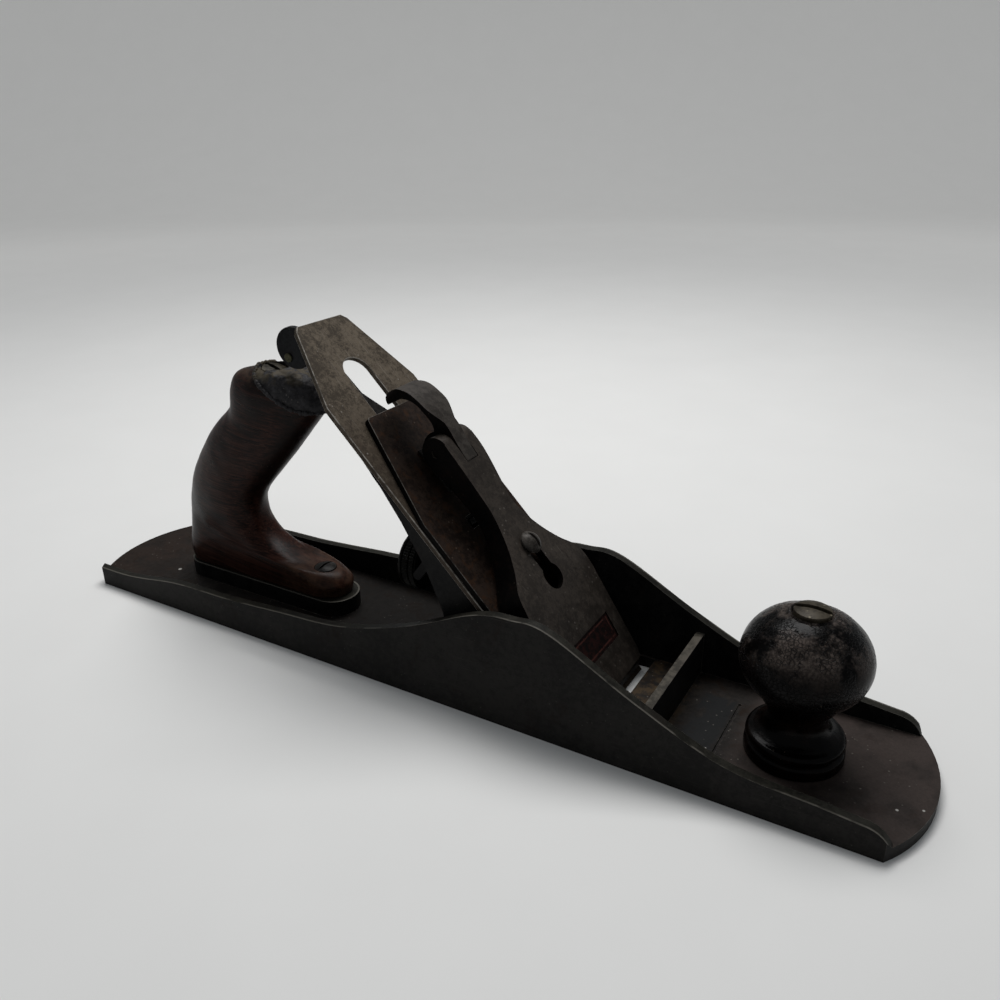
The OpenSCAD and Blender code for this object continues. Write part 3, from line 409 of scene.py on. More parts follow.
def old_metal(name, dark, light, stain, rough, blotch=14, grain=0.7, metal=0.1, stains=0.5,
              pits=0.0, bright=None, share=0.2, lines=None, zones=None, gloss=0.08):
    """Aged metal: broad and fine mottling of two colours, stains, specks, scratches and pits.

    lines is the stretch and the turn of its scratches; zones changes the colour by place.
    """
    finish = Finish(name)
    broad = finish.noise(blotch, 5, 0.6)
    middle = finish.noise(grain * 3.2, 5, 0.65, twist=0.4)
    fine = finish.noise(grain, 6, 0.7)
    tone = (broad * 0.35 + middle * 0.35 + fine * 0.3).rise(0.43, 0.57)
    colour = finish.blend(tone, dark, light)
    stained = finish.noise(blotch * 0.7, 7, 0.68, twist=0.6).rise(0.66 - 0.2 * stains,
                                                                  0.8 - 0.16 * stains)
    colour = finish.blend(stained * 0.8, colour, stain)
    if zones:
        colour = zones(finish, colour, fine)
    speck = finish.specks(2.2, share)
    if bright:
        colour = finish.blend(speck * 0.75, colour, bright)
    height = fine * 0.4 + middle * 0.4 - speck * pits
    if lines:
        scratched = finish.scratches(*lines)
        colour = finish.blend(scratched * 0.35, colour, bright or light)
        height = height - scratched * 0.25
    return finish.done(
        Base_Color=colour, Metallic=metal, Specular_IOR_Level=gloss,
        Roughness=rough[0] + (rough[1] - rough[0]) * (fine * 0.5 + stained * 0.5),
        Normal=finish.relief(height, 0.06 + 0.1 * pits, 0.5))


# Paint spots on the bed: x, y and radius
SPOTS = ((-141, -10.3, 0.95), (167.5, -12.4, 0.55), (174.5, -8.8, 0.5), (108.2, -13.2, 0.5))
BLUE_BAND = (98.5, 110.2)


def bed_zones(finish, colour, fine):
    """The bed: black painted shade amid its length, rusty ahead of the mouth, then bluish; brown at
    both ends.
    """
    # Painted shade: the middle of the bed, from the handle to under the frog, is blended towards
    # black.
    middle = finish.x.strip(-62, 40, 14) * 0.6
    colour = finish.blend(middle, colour, (0.0036, 0.0031, 0.0027))
    ahead = finish.noise(5, 6, 0.7).rise(0.42, 0.62) * finish.x.rise(72, 76) * finish.x.rise(98, 90)
    colour = finish.blend(ahead, colour, (0.04, 0.0265, 0.0145))
    blue = finish.x.strip(*BLUE_BAND, 1.2) * finish.y.size().rise(17.5, 15)
    blue = blue * finish.noise(7, 3).rise(0.34, 0.44)
    bluish = finish.blend(fine, (0.005, 0.0053, 0.0056), (0.0125, 0.0128, 0.013))
    colour = finish.blend(blue, colour, bluish)
    toe = finish.x.rise(112, 120) * (0.35 + 0.65 * finish.noise(13, 5).rise(0.36, 0.6))
    toe_brown = finish.blend(fine, (0.019, 0.0145, 0.013), (0.055, 0.042, 0.037))
    colour = finish.blend(toe, colour, toe_brown)
    heel = finish.x.rise(-136, -146) * (0.3 + 0.6 * finish.noise(9, 6, 0.65).rise(0.38, 0.58))
    heel_brown = finish.blend(fine, (0.010, 0.0068, 0.0052), (0.03, 0.0195, 0.0152))
    colour = finish.blend(heel, colour, heel_brown)
    for x, y, radius in SPOTS:
        away = (finish.x - x) * (finish.x - x) + (finish.y - y) * (finish.y - y)
        spot = away.rise(radius ** 2, 0.4 * radius ** 2)
        colour = finish.blend(spot, colour, (0.3, 0.29, 0.27))
    return colour


def iron_zones(finish, colour, fine):
    """The iron: rusty low down, greyer at the top, with dark blotches all over."""
    low = finish.s.rise(150, 122) * finish.noise(8, 6, 0.7).rise(0.3, 0.55)
    colour = finish.blend(low * 0.75, colour, (0.036, 0.026, 0.0195))
    dark = finish.noise(2.2, 7, 0.8).rise(0.56, 0.66)
    return finish.blend(dark * 0.5, colour, (0.026, 0.0195, 0.0145))


def wall_wear_and_pad_highlight(finish, colour, fine):
    """A rubbed line along the outer edge of the walls, and a painted highlight round the handle's
    pad.
    """
    outer = finish.y.size().rise(WALL_OUTER - 0.9, WALL_OUTER - 0.4)
    wall = outer * finish.noise(12, 5).rise(0.36, 0.5)
    beyond = ((finish.x - PAD_X).size() - PAD_REACH).most(0.0)
    from_spine = (beyond * beyond + finish.y * finish.y).root()
    # Painted highlight: a light line along the top edge of the handle's pad.
    pad = from_spine.strip(PAD_R - 0.7, PAD_R + 0.05, 0.15)
    # The rubbed wall line and the painted pad highlight share one light colour.
    line = (wall + pad) * (0.45 + 0.55 * fine)
    return finish.blend(line, colour, (0.105, 0.098, 0.084))


def cap_zones(finish, colour, fine):
    """Darker mottling low on the cap, between the keyhole and the panel, with fine light scuffs."""
    low = finish.s.rise(46, 34) * finish.noise(3, 5).rise(0.42, 0.58)
    colour = finish.blend(low * 0.5, colour, (0.012, 0.0095, 0.008))
    scuffs = finish.scratches((0.3, 0.3, 14), (0, 45, 0), 0.66)
    return finish.blend(scuffs * 0.4, colour, (0.085, 0.076, 0.066))


cheek_iron = old_metal(
    "cheek iron", (0.0085, 0.008, 0.0074), (0.0155, 0.0142, 0.013), (0.0105, 0.0075, 0.006),
    rough=(0.48, 0.66), blotch=30, grain=0.8, bright=(0.045, 0.042, 0.037), share=0.14,
    lines=((60, 1, 0.22), (0, 3, 0), 0.67))
sole_iron = old_metal(
    "sole iron", (0.03, 0.028, 0.026), (0.065, 0.06, 0.055), (0.025, 0.016, 0.011),
    rough=(0.4, 0.6), blotch=24, grain=0.8, stains=0.7, bright=(0.1, 0.095, 0.088),
    lines=((50, 0.25, 1), (0, 0, 2), 0.62))
wall_top = old_metal(
    "wall top", (0.007, 0.0066, 0.0052), (0.018, 0.0168, 0.0132), (0.0085, 0.0066, 0.005),
    rough=(0.4, 0.6), blotch=18, grain=0.9, stains=0.8, zones=wall_wear_and_pad_highlight)
worn_casting = old_metal(
    "worn casting edge", (0.035, 0.0325, 0.028), (0.13, 0.122, 0.106), (0.018, 0.0155, 0.0125),
    rough=(0.45, 0.65), grain=0.7, stains=0.8)
rib_edge = old_metal(
    "rubbed rib", (0.03, 0.027, 0.022), (0.07, 0.062, 0.05), (0.02, 0.0145, 0.01),
    rough=(0.45, 0.65), blotch=9, grain=0.7)
bed_iron = old_metal(
    "bed iron", (0.008, 0.0068, 0.006), (0.017, 0.0142, 0.0125), (0.014, 0.0085, 0.0055),
    rough=(0.5, 0.75), blotch=10, grain=0.7, stains=0.8, pits=0.5, bright=(0.11, 0.1, 0.088),
    share=0.17, zones=bed_zones)
japan = old_metal(
    "worn japanning", (0.0035, 0.0034, 0.0034), (0.0095, 0.009, 0.0085), (0.012, 0.0075, 0.0055),
    metal=0.0, rough=(0.35, 0.6), blotch=9, grain=0.6, bright=(0.05, 0.044, 0.036), share=0.14)
# Near-black rusty japanning: the cam pin's own finish, and painted shade on the sides of the lever
# cap, the cap iron and the cam lever.
rusty_japan_and_painted_shade = old_metal(
    "rusty japanning", (0.0012, 0.0011, 0.001), (0.0036, 0.0026, 0.0022),
    (0.0085, 0.0042, 0.0028), metal=0.0, rough=(0.5, 0.75), blotch=7, grain=0.6,
    bright=(0.05, 0.04, 0.03), share=0.12, gloss=0.04)
japan_edge = old_metal(
    "rubbed japanning", (0.012, 0.011, 0.01), (0.035, 0.032, 0.028), (0.006, 0.005, 0.0045),
    rough=(0.35, 0.55), blotch=7, grain=0.6, stains=1.0)
iron_steel = old_metal(
    "iron steel", (0.04, 0.0315, 0.023), (0.108, 0.087, 0.064), (0.036, 0.0265, 0.0195),
    rough=(0.42, 0.6), blotch=16, grain=0.6, stains=0.35, pits=0.4, bright=(0.2, 0.18, 0.155),
    lines=((0.3, 0.3, 26), (0, 45, 0), 0.66), zones=iron_zones)
# Worn bare steel on the cap iron's rounded edges, made lighter as a painted highlight line.
worn_edge_and_highlight = old_metal(
    "worn edge", (0.03, 0.0275, 0.024), (0.13, 0.12, 0.105), (0.012, 0.0095, 0.0075),
    rough=(0.4, 0.6), blotch=12, grain=0.7, stains=0.8)
# Rubbed bare steel on the iron's rounded edges, made lighter still as a painted highlight line.
iron_edge_and_highlight = old_metal(
    "iron edge", (0.085, 0.075, 0.063), (0.32, 0.295, 0.26), (0.04, 0.03, 0.022),
    rough=(0.35, 0.5), blotch=9, grain=0.7)
cap_steel = old_metal(
    "cap iron steel", (0.009, 0.0058, 0.0044), (0.025, 0.0165, 0.0125), (0.036, 0.0165, 0.0078),
    rough=(0.42, 0.66), blotch=8, grain=0.6, stains=0.8, pits=0.3, bright=(0.08, 0.062, 0.048))
cap_casting = old_metal(
    "lever cap casting", (0.0235, 0.0195, 0.0165), (0.042, 0.0345, 0.0285),
    (0.0135, 0.0098, 0.008), rough=(0.36, 0.54), blotch=11, grain=0.7, pits=0.3,
    bright=(0.1, 0.09, 0.08), share=0.22, zones=cap_zones)
cap_edge = old_metal(
    "rubbed cap edge", (0.03, 0.027, 0.023), (0.085, 0.077, 0.067), (0.02, 0.016, 0.013),
    rough=(0.36, 0.52), blotch=12, grain=0.7, stains=0.8)
cam_casting = old_metal(
    "cam lever casting", (0.026, 0.0225, 0.0195), (0.05, 0.0435, 0.038), (0.018, 0.0135, 0.011),
    rough=(0.34, 0.5), blotch=9, grain=0.7, bright=(0.12, 0.105, 0.095))
dark_steel = old_metal(
    "dark steel", (0.0065, 0.006, 0.0056), (0.018, 0.0165, 0.015), (0.013, 0.009, 0.007),
    rough=(0.35, 0.55), blotch=6, grain=0.5)
blue_steel = old_metal(
    "bluish disc steel", (0.004, 0.0041, 0.0046), (0.0115, 0.0118, 0.013), (0.007, 0.006, 0.006),
    rough=(0.3, 0.46), blotch=7, grain=0.6, bright=(0.05, 0.05, 0.052), share=0.16)
wheel_steel = old_metal(
    "wheel steel", (0.0025, 0.0023, 0.002), (0.0085, 0.0077, 0.0064), (0.008, 0.006, 0.0045),
    rough=(0.34, 0.5), blotch=6, grain=0.5)
screw_steel = old_metal(
    "screw steel", (0.022, 0.019, 0.0165), (0.06, 0.053, 0.046), (0.017, 0.0125, 0.0095),
    rough=(0.34, 0.52), blotch=5, grain=0.5)
dull_brass = old_metal(
    "dull brass", (0.019, 0.0155, 0.011), (0.052, 0.0435, 0.031), (0.024, 0.0175, 0.011),
    rough=(0.36, 0.54), blotch=4, grain=0.5, bright=(0.16, 0.14, 0.1), share=0.24)
dark_brass = old_metal(
    "blackened brass", (0.011, 0.0095, 0.0068), (0.042, 0.036, 0.025), (0.0085, 0.0068, 0.005),
    rough=(0.4, 0.6), blotch=3, grain=0.5, stains=0.9)
rivet_brass = old_metal(
    "green brass", (0.024, 0.023, 0.0125), (0.07, 0.066, 0.037), (0.014, 0.0145, 0.009),
    rough=(0.36, 0.5), blotch=3, grain=0.5)


def old_wood():
    """Dark rosewood: fine grain, a black painted reflection down the grip's forward edge, rubbed
    warm at the toe and top.
    """
    finish = Finish("old varnished wood")
    grain = finish.noise(1, 5, 0.6, finish.stretched((22, 1.1, 0.55), (0, -6, 0)), 0.4)
    streak = finish.noise(1, 3, 0.5, finish.stretched((60, 4.5, 2.6), (0, -4, 0)), 0.8)
    broad = finish.noise(17, 4)
    tone = (grain * 0.5 + streak * 0.2 + broad * 0.3).rise(0.42, 0.58)
    colour = finish.blend(tone, (0.0032, 0.0011, 0.0008), (0.027, 0.0088, 0.0056))
    lines = grain.rise(0.56, 0.61) * broad.rise(0.42, 0.55)
    colour = finish.blend(lines * 0.6, colour, (0.042, 0.02, 0.0135))
    # Painted reflection: a dark band down the grip's forward edge, as if it mirrored something
    # dark.
    before_grip = finish.x * 0.78 - finish.z * 0.63 + 103
    front = before_grip.strip(-4, 9, 3) * finish.z.strip(46, 88, 8)
    colour = finish.blend(front * 0.8, colour, (0.0013, 0.0009, 0.0008))
    toe = finish.x.rise(-84, -66) * finish.z.rise(36, 26)
    worn = toe * (0.3 + 0.7 * finish.noise(5, 6, 0.65).rise(0.4, 0.62))
    colour = finish.blend(worn * 0.75, colour, (0.052, 0.0255, 0.0145))
    top = finish.z.rise(98, 104) * finish.noise(4, 5, 0.65).rise(0.38, 0.6)
    colour = finish.blend(top * 0.8, colour, (0.045, 0.028, 0.0185))
    drying = finish.noise(1, 6, 0.7, finish.stretched((14, 3, 0.8), (0, -8, 0)), 1.2)
    cracks = drying.rise(0.37, 0.34)
    colour = finish.blend(cracks * 0.8, colour, (0.0015, 0.0012, 0.001))
    speck = finish.specks(2.4, 0.09, 7)
    colour = finish.blend(speck * 0.7, colour, (0.11, 0.09, 0.072))
    return finish.done(Base_Color=colour, Roughness=0.22 + 0.24 * broad + 0.12 * worn,
                       Specular_IOR_Level=0.09,
                       Normal=finish.relief(grain * 0.5 + broad * 0.5 - cracks * 0.8 + speck * 0.2,
                                            0.16, 0.7))


def old_lacquer():
    """Black lacquer on the knob, crazed, and lighter over its upper half: rubbed to brown where the
    palm rests, and a painted sheen.
    """
    finish = Finish("crazed lacquer")
    broad = finish.noise(11, 5, 0.62)
    fine = finish.noise(0.8, 5, 0.7)
    colour = finish.blend(broad.rise(0.42, 0.66), (0.0009, 0.0007, 0.0007),
                          (0.0055, 0.0032, 0.0025))
    # Rubbed brown lacquer on the upper half, made lighter as a painted sheen where the lamp would
    # catch it.
    rubbed = broad.rise(0.42, 0.56) * finish.z.rise(41, 51) * (0.4 + 0.6 * fine.rise(0.4, 0.6))
    colour = finish.blend(rubbed * 0.85, colour, (0.085, 0.069, 0.06))
    wander = finish.node("ShaderNodeTexNoise", output="Color", Vector=finish.here, Scale=0.6,
                         Detail=3.0)
    warped = finish.node("ShaderNodeVectorMath", {"operation": "ADD"}, output="Vector")
    for socket, value in zip(warped.socket.node.inputs, (finish.here, wander)):
        finish.plug(socket, value)
    crazing = finish.cells(1.25, "DISTANCE_TO_EDGE", warped).rise(0.11, 0.03)
    crazing = crazing * finish.noise(8, 2).rise(0.4, 0.52) * finish.z.rise(30, 38)
    colour = finish.blend(crazing * 0.8, colour, (0.0012, 0.001, 0.001))
    speck = finish.specks(2.2, 0.12, 8)
    colour = finish.blend(speck * 0.75, colour, (0.07, 0.05, 0.038))
    return finish.done(Base_Color=colour, Specular_IOR_Level=0.07,
                       Roughness=0.1 + 0.24 * broad + 0.2 * crazing,
                       Normal=finish.relief(fine * 0.2 + broad * 0.9 - crazing * 0.8
                                            + speck * 0.3, 0.3, 0.8))


def horn_filler():
    """Grey moulded filler, lighter on its lumps and darker in its hollows, with light specks."""
    finish = Finish("grey filler")
    lumps = finish.noise(2.6, 6, 0.66)
    fine = finish.noise(0.6, 5, 0.7)
    tone = (lumps * 0.6 + fine * 0.4).rise(0.38, 0.64)
    colour = finish.blend(tone, (0.0125, 0.0118, 0.0124), (0.036, 0.0345, 0.0365))
    light = finish.specks(1.9, 0.2, 5)
    colour = finish.blend(light * 0.7, colour, (0.11, 0.1, 0.092))
    brown = finish.z.rise(101, 104.5) * finish.noise(3.5, 4).rise(0.4, 0.55)
    colour = finish.blend(brown * 0.8, colour, (0.062, 0.05, 0.033))
    return finish.done(Base_Color=colour, Roughness=0.42 + 0.3 * fine, Specular_IOR_Level=0.1,
                       Normal=finish.relief(lumps * 0.7 + fine * 0.3, 0.4, 0.7))


def panel_paint():
    """Worn red paint in the sunk panel, with a thin border line."""
    finish = Finish("worn red panel")
    across, along = finish.y.size(), finish.s
    worn = finish.noise(2.2, 6, 0.7)
    colour = finish.blend(worn.rise(0.42, 0.62), (0.004, 0.0027, 0.0025),
                          (0.0175, 0.0058, 0.005))

    def within(inset):
        """1 further than inset from the panel's sides and ends."""
        sides = across.rise(PANEL_HALF + 0.1 - inset, PANEL_HALF - 0.1 - inset)
        return sides * along.strip(PANEL_LOW + inset, PANEL_HIGH - inset, 0.1)

    border = (within(0.9) - within(1.5)) * finish.noise(3, 3).rise(0.4, 0.5)
    colour = finish.blend(border * 0.8, colour, (0.06, 0.0215, 0.017))
    colour = finish.blend(finish.specks(1.6, 0.16, 5) * 0.6, colour, (0.06, 0.045, 0.04))
    return finish.done(Base_Color=colour, Roughness=0.5 + 0.2 * worn, Specular_IOR_Level=0.08,
                       Normal=finish.relief(worn, 0.08, 0.5))


wood = old_wood()
lacquer = old_lacquer()
filler = horn_filler()
panel_red = panel_paint()


# Body and lever cap, whose faces take different finishes

ROUND_END_X = 162


def body_coat(middle, normal):
    """0 cheeks and ends, 2 bed, 3 japanned inside, 4 sole, 5 rib's top, 6 walls' and pad's tops."""
    x, y, z = middle
    on_rib = RIB_X - 0.1 < x < RIB_X + RIB_THICKNESS + 0.1 and abs(y) < WALL_INNER
    if normal.z < -0.6:
        return 4
    if normal.z > 0.35:
        if abs(y) > WALL_INNER - 0.2 and z > SOLE_THICKNESS + 0.2:
            return 6
        if on_rib and z > RIB_HEIGHT - 0.5:
            return 5
        if abs(z - PAD_TOP) < 0.3 and x < PAD_X + PAD_REACH + PAD_R:
            return 6
        return 2 if z < SOLE_THICKNESS + 0.6 else 3
    if abs(y) > WALL_OUTER - 0.1 or abs(x) > ROUND_END_X:
        return 0
    return 3


body_piece = from_node("body", "body_piece")
coats(body_piece, cheek_iron, worn_casting, bed_iron, japan, sole_iron, rib_edge, wall_top)
paint_faces(body_piece, body_coat)
shade(body_piece)
ease_edges(body_piece, 0.3)
stand_for(body_piece, "body")


def cap_coat(middle, normal):
    """0 bare casting, 2 paint in the sunk panel, 3 black painted shade on the walls and inside."""
    s = (MOUTH_X - middle.x + middle.z) * BED
    n = (middle.x + middle.z - MOUTH_X) * BED
    facing = normal.dot(OFF_IRON)
    # Painted shade: the cap's walls and inside, which don't face up off the iron, are near-black.
    if facing < 0.45 and s > 8:
        return 3
    within = PANEL_LOW - 0.2 < s < PANEL_HIGH + 0.2 and abs(middle.y) < PANEL_HALF + 0.05
    return 2 if within and facing > 0.7 and n > 3 else 0


cap_piece = from_node("lever_cap", "lever_cap_piece")
coats(cap_piece, cap_casting, cap_edge, panel_red, rusty_japan_and_painted_shade)
paint_faces(cap_piece, cap_coat)
shade(cap_piece)
ease_edges(cap_piece, 0.32)
stand_for(cap_piece, "lever_cap")


# Pieces that keep the shape of their CAD node: face finish, edge finish, edge rounding.
# Two of them are painted near-black as shade wherever they don't face up off the iron.

PAINTED_SHADE_BELOW = ("cam_lever", "cap_iron")
KEPT = {
    "frog": (japan, japan_edge, 0.35), "frog_screws": (dark_steel, dark_steel, 0.15),
    "frog_washers": (screw_steel, screw_steel, 0.1), "yoke": (japan, japan, 0.2),
    "yoke_pin": (dark_steel, dark_steel, 0.1), "lateral_lever": (dark_steel, screw_steel, 0.15),
    "lateral_rivet": (dark_steel, dark_steel, 0.1),
    "lateral_roller": (screw_steel, screw_steel, 0.1),
    "thumb_disc": (blue_steel, dark_steel, 0.45), "thumb_rivet": (rivet_brass, rivet_brass, 0.15),
    "iron": (iron_steel, iron_edge_and_highlight, 0.26), "cap_iron": (cap_steel, worn_edge_and_highlight, 0.3),
    "cap_iron_screw": (dark_steel, dark_steel, 0.15),
    "lever_cap_screw": (screw_steel, screw_steel, 0.15),
    "cam_lever": (cam_casting, cap_edge, 0.3), "cam_pin": (rusty_japan_and_painted_shade, rusty_japan_and_painted_shade, 0.1),
    "cam_spring": (dark_steel, dark_steel, 0.05), "spring_rivet": (dark_steel, dark_steel, 0.05),
    "tote_rod": (dark_steel, dark_steel, 0.1), "tote_nut": (dark_brass, dark_brass, 0.12),
    "tote_toe_screw": (dark_steel, screw_steel, 0.12), "knob_rod": (dark_steel, dark_steel, 0.1),
    "knob_nut": (dull_brass, dull_brass, 0.12),
}
for node, (face, edge, ease) in KEPT.items():
    piece = from_node(node, node + "_piece")
    coats(piece, face, edge, rusty_japan_and_painted_shade)
    if node in PAINTED_SHADE_BELOW:
        # Painted shade on the faces that don't face up off the iron.
        paint_faces(piece, lambda middle, normal: 2 if normal.dot(OFF_IRON) < 0.25 else 0)
    shade(piece)
    ease_edges(piece, ease)
    stand_for(piece, node)


# Handle and its repaired horn

TOTE_HALF = 11
ROD_FOOT, ROD_TOP = Vector((-120, 0, SOLE_THICKNESS)), Vector((-77.5, 0, 103))
TOE_SCREW_X, TOE_HOLE_R, TOE_SINK_R, TOE_SINK_Z = -62, 2.5, 4.7, 20
# Front edge's x and z, back edge's x and z, half thickness, rounding length
TOTE_SECTIONS = [
    (-51.4, PAD_TOP, -136.4, PAD_TOP, TOTE_HALF - 2.2, 11),
    (-50.8, PAD_TOP + 1.4, -137.2, PAD_TOP + 1.4, TOTE_HALF - 1.5, 11),
    (-50.8, 17, -137.8, 18.5, TOTE_HALF - 1.4, 11), (-56, 21, -137.4, 26, TOTE_HALF - 1.3, 20),
    (-68.5, 21.9, -136.6, 34, TOTE_HALF - 1, 34), (-82.4, 26.2, -134, 44, TOTE_HALF - 0.6, 40),
    (-90.8, 32.2, -129.4, 55, TOTE_HALF - 0.2, 40), (-94, 38, -122.6, 65.6, TOTE_HALF, 40),
    (-94.5, 43, -115.6, 74.4, TOTE_HALF, 40), (-92.7, 47.8, -109.4, 80.2, TOTE_HALF, 40),
    (-88.9, 52.8, -104.2, 84.7, TOTE_HALF, 40), (-78.7, 63.6, -100.7, 89.2, TOTE_HALF, 40),
    (-65.7, 77.8, -100.3, 96.1, TOTE_HALF, 40), (-57, 87.6, -97, 101.6, TOTE_HALF, 40),
    (-53.3, 93.3, -88.4, 104.6, TOTE_HALF - 0.3, 40), (-54.6, 99, -79.4, 107, TOTE_HALF - 1.4, 40),
    (-58.7, 103, -72.1, 106.9, TOTE_HALF - 4, 40),
    (-62.1, 104.6, -67.3, 105.9, TOTE_HALF - 7.5, 40),
]
HORN_LINE = [(-90, 112), (-84, 106.4), (-81, 103.2), (-75.6, 99.6), (-68, 95.4), (-61, 91.9),
             (-52.7, 90.4), (-46, 90)]


def tote_solid(name, steps, sides):
    """The whole handle, as rings with straight middles and round ends."""
    rows = smooth(TOTE_SECTIONS, steps)
    points = []
    for fx, fz, bx, bz, half, rounding in rows:
        end = min(1, 2 * rounding / hypot(fx - bx, fz - bz))
        for i in range(sides):
            a = 2 * pi * i / sides
            u = (end - 1 if cos(a) < 0 else 1 - end) + end * cos(a)
            points.append(((fx + bx) / 2 + u * (fx - bx) / 2, half * sin(a),
                           (fz + bz) / 2 + u * (fz - bz) / 2))
    faces = [tuple(range(sides)), tuple(len(points) - sides + i for i in range(sides))]
    faces += [(k * sides + i, k * sides + (i + 1) % sides,
               (k + 1) * sides + (i + 1) % sides, (k + 1) * sides + i)
              for k in range(len(rows) - 1) for i in range(sides)]
    return outward(new_piece(name, points, faces))


def horn_block():
    """Everything above the line where the broken horn is built up again."""
    line = [tuple(p) for p in smooth(HORN_LINE, 8)]
    return prism("horn_block", [(-40, 130), (-90, 130)] + line + [(-40, 90)], 30)


def repair_seam(whole):
    """The loop where the repair meets the wood, found by rays from both sides of the handle."""
    skin = BVHTree.FromObject(whole, bpy.context.evaluated_depsgraph_get())
    loop = []
    for side in (-1, 1):
        hits = [skin.ray_cast(Vector((x, side * 30, z)) * MM, Vector((0, -side, 0)))[0]
                for x, z in smooth(HORN_LINE, 40)]
        found = [hit / MM for hit in hits if hit]
        loop += found if side < 0 else found[::-1]
    return loop


def drilled(piece):
    """Drills the handle for its rod, its nut and the screw in its toe."""
    run = (ROD_TOP - ROD_FOOT).length
    up = (ROD_TOP - ROD_FOOT) / run
    seat = ROD_FOOT + up * (run - 0.6)
    toe_under, toe_sink, toe_over = (Vector((TOE_SCREW_X, 0, z)) for z in (2, TOE_SINK_Z, 40))
    for start, end, radius in ((ROD_FOOT - up * 4, seat + up * 20, ROD_HOLE_R),
                               (seat - up * NUT_SHANK_DEPTH, seat + up * 20, NUT_SHANK_R),
                               (seat, seat + up * 30, NUT_HOLE_R),
                               (toe_under, toe_over, TOE_HOLE_R),
                               (toe_sink, toe_over, TOE_SINK_R)):
        carve(piece, rod("drill", start, end, radius))
    return piece


def dented(piece, *waves):
    """Moves the piece's points along their normals by sums of noise; waves are size and depth."""
    for point, normal in [(v, v.normal.copy()) for v in piece.data.vertices]:
        place = point.co / MM
        rise = sum(depth * noise.noise(place / size) for size, depth in waves)
        point.co += normal * MM * rise
    return piece


tote_piece = tote_solid("tote_piece", 6, 96)
dented(tote_piece, (18, 0.35), (6, 0.12))
carve(tote_piece, horn_block())
drilled(tote_piece)
coats(tote_piece, wood)
shade(tote_piece, 40)
stand_for(tote_piece, "tote")

whole_tote = tote_solid("whole_tote", 12, 160)
seam = repair_seam(whole_tote)
horn_piece = carve(whole_tote, horn_block(), "INTERSECT")
horn_piece.name = "horn_repair_piece"
drilled(horn_piece)
dented(horn_piece, (4.5, 0.7), (1.7, 0.4), (0.8, 0.16))
coats(horn_piece, filler)
shade(horn_piece, 50)
stand_for(horn_piece, "horn_repair")

# Rope of filler lumps along the seam
lumps = Pattern("lumps along a line", Spacing=0.001, Least=0.0005, Most=0.0013, Seed=5)
line = lumps.node("GeometryNodeMeshToCurve", Mesh=lumps["Geometry"])
places = lumps.node("GeometryNodeResampleCurve", {"mode": "LENGTH"}, Curve=line,
                    Length=lumps["Spacing"])
lump = lumps.node("GeometryNodeMeshIcoSphere", Radius=1.0, Subdivisions=2)
bigness = lumps.node("FunctionNodeRandomValue", {"data_type": "FLOAT"}, output=1,
                     Min=lumps["Least"], Max=lumps["Most"], Seed=lumps["Seed"])
lumps.end(lumps.node("GeometryNodeInstanceOnPoints", Points=places, Instance=lump,
                     Scale=lumps.combined(bigness, bigness * 0.8, bigness)), filler)

rope_line = new_piece("horn_seam_rope", [p + Vector((0, 0, 0.2)) for p in seam],
                      edges=[(i, (i + 1) % len(seam)) for i in range(len(seam))])
horn_rope = lumps.made("horn_seam_rope", rope_line, Spacing=0.95 * MM, Least=0.55 * MM,
                       Most=1.25 * MM, Seed=5)
dented(horn_rope, (1.1, 0.25), (0.5, 0.1))
shade(horn_rope, 60)
ride_with(horn_rope, "horn_repair")


# Front knob

KNOB_X, KNOB_Z, KNOB_R, KNOB_HALF_H = 133.4, 40.4, 20.4, 16.7
FOOT_R = 16
BOSS_R, BOSS_TOP = 6.3, 7.8


def arc(middle, radius, start, end, steps):
    """Points of an arc from start to end, in degrees."""
    return [(middle[0] + radius * cos(radians(start + (end - start) * i / steps)),
             middle[1] + radius * sin(radians(start + (end - start) * i / steps)))
            for i in range(steps + 1)]


knob_seat = KNOB_Z + KNOB_HALF_H - 1.2
knob_top = KNOB_Z + KNOB_HALF_H - 0.3
knob_line = [(BOSS_R, SOLE_THICKNESS), (FOOT_R - 0.6, SOLE_THICKNESS), (FOOT_R - 0.15, 4.8),
             (FOOT_R, 5.3), (FOOT_R, 7.7), (FOOT_R - 0.2, 8.4), (FOOT_R - 0.8, 8.9),
             (FOOT_R - 1.8, 9.3)]
knob_line += arc((FOOT_R - 2, 11.3), 1.8, -90, 80, 16)
knob_line += [tuple(p) for p in smooth([(FOOT_R - 2.6, 13.4), (FOOT_R - 5, 15.1),
                                        (FOOT_R - 6.4, 18), (FOOT_R - 6.2, 21.5),
                                        (FOOT_R - 3.8, KNOB_Z - 15.2)], 8)]
knob_line += [(KNOB_R * cos(radians(a)), KNOB_Z + KNOB_HALF_H * sin(radians(a)))
              for a in range(-50, 71, 3)]
shank_foot = knob_seat - NUT_SHANK_DEPTH
knob_line += [(NUT_HOLE_R + 0.6, knob_top), (NUT_HOLE_R, knob_top - 0.4), (NUT_HOLE_R, knob_seat),
              (NUT_SHANK_R, knob_seat), (NUT_SHANK_R, shank_foot), (ROD_HOLE_R, shank_foot),
              (ROD_HOLE_R, BOSS_TOP), (BOSS_R, BOSS_TOP)]
knob_piece = lathe("knob_piece", knob_line, (KNOB_X, 0, 0), 192)
dented(knob_piece, (9, 0.16), (3, 0.06))
coats(knob_piece, lacquer)
shade(knob_piece, 40)
stand_for(knob_piece, "knob")


# Depth wheel with two knurled bands, and the stud's thread

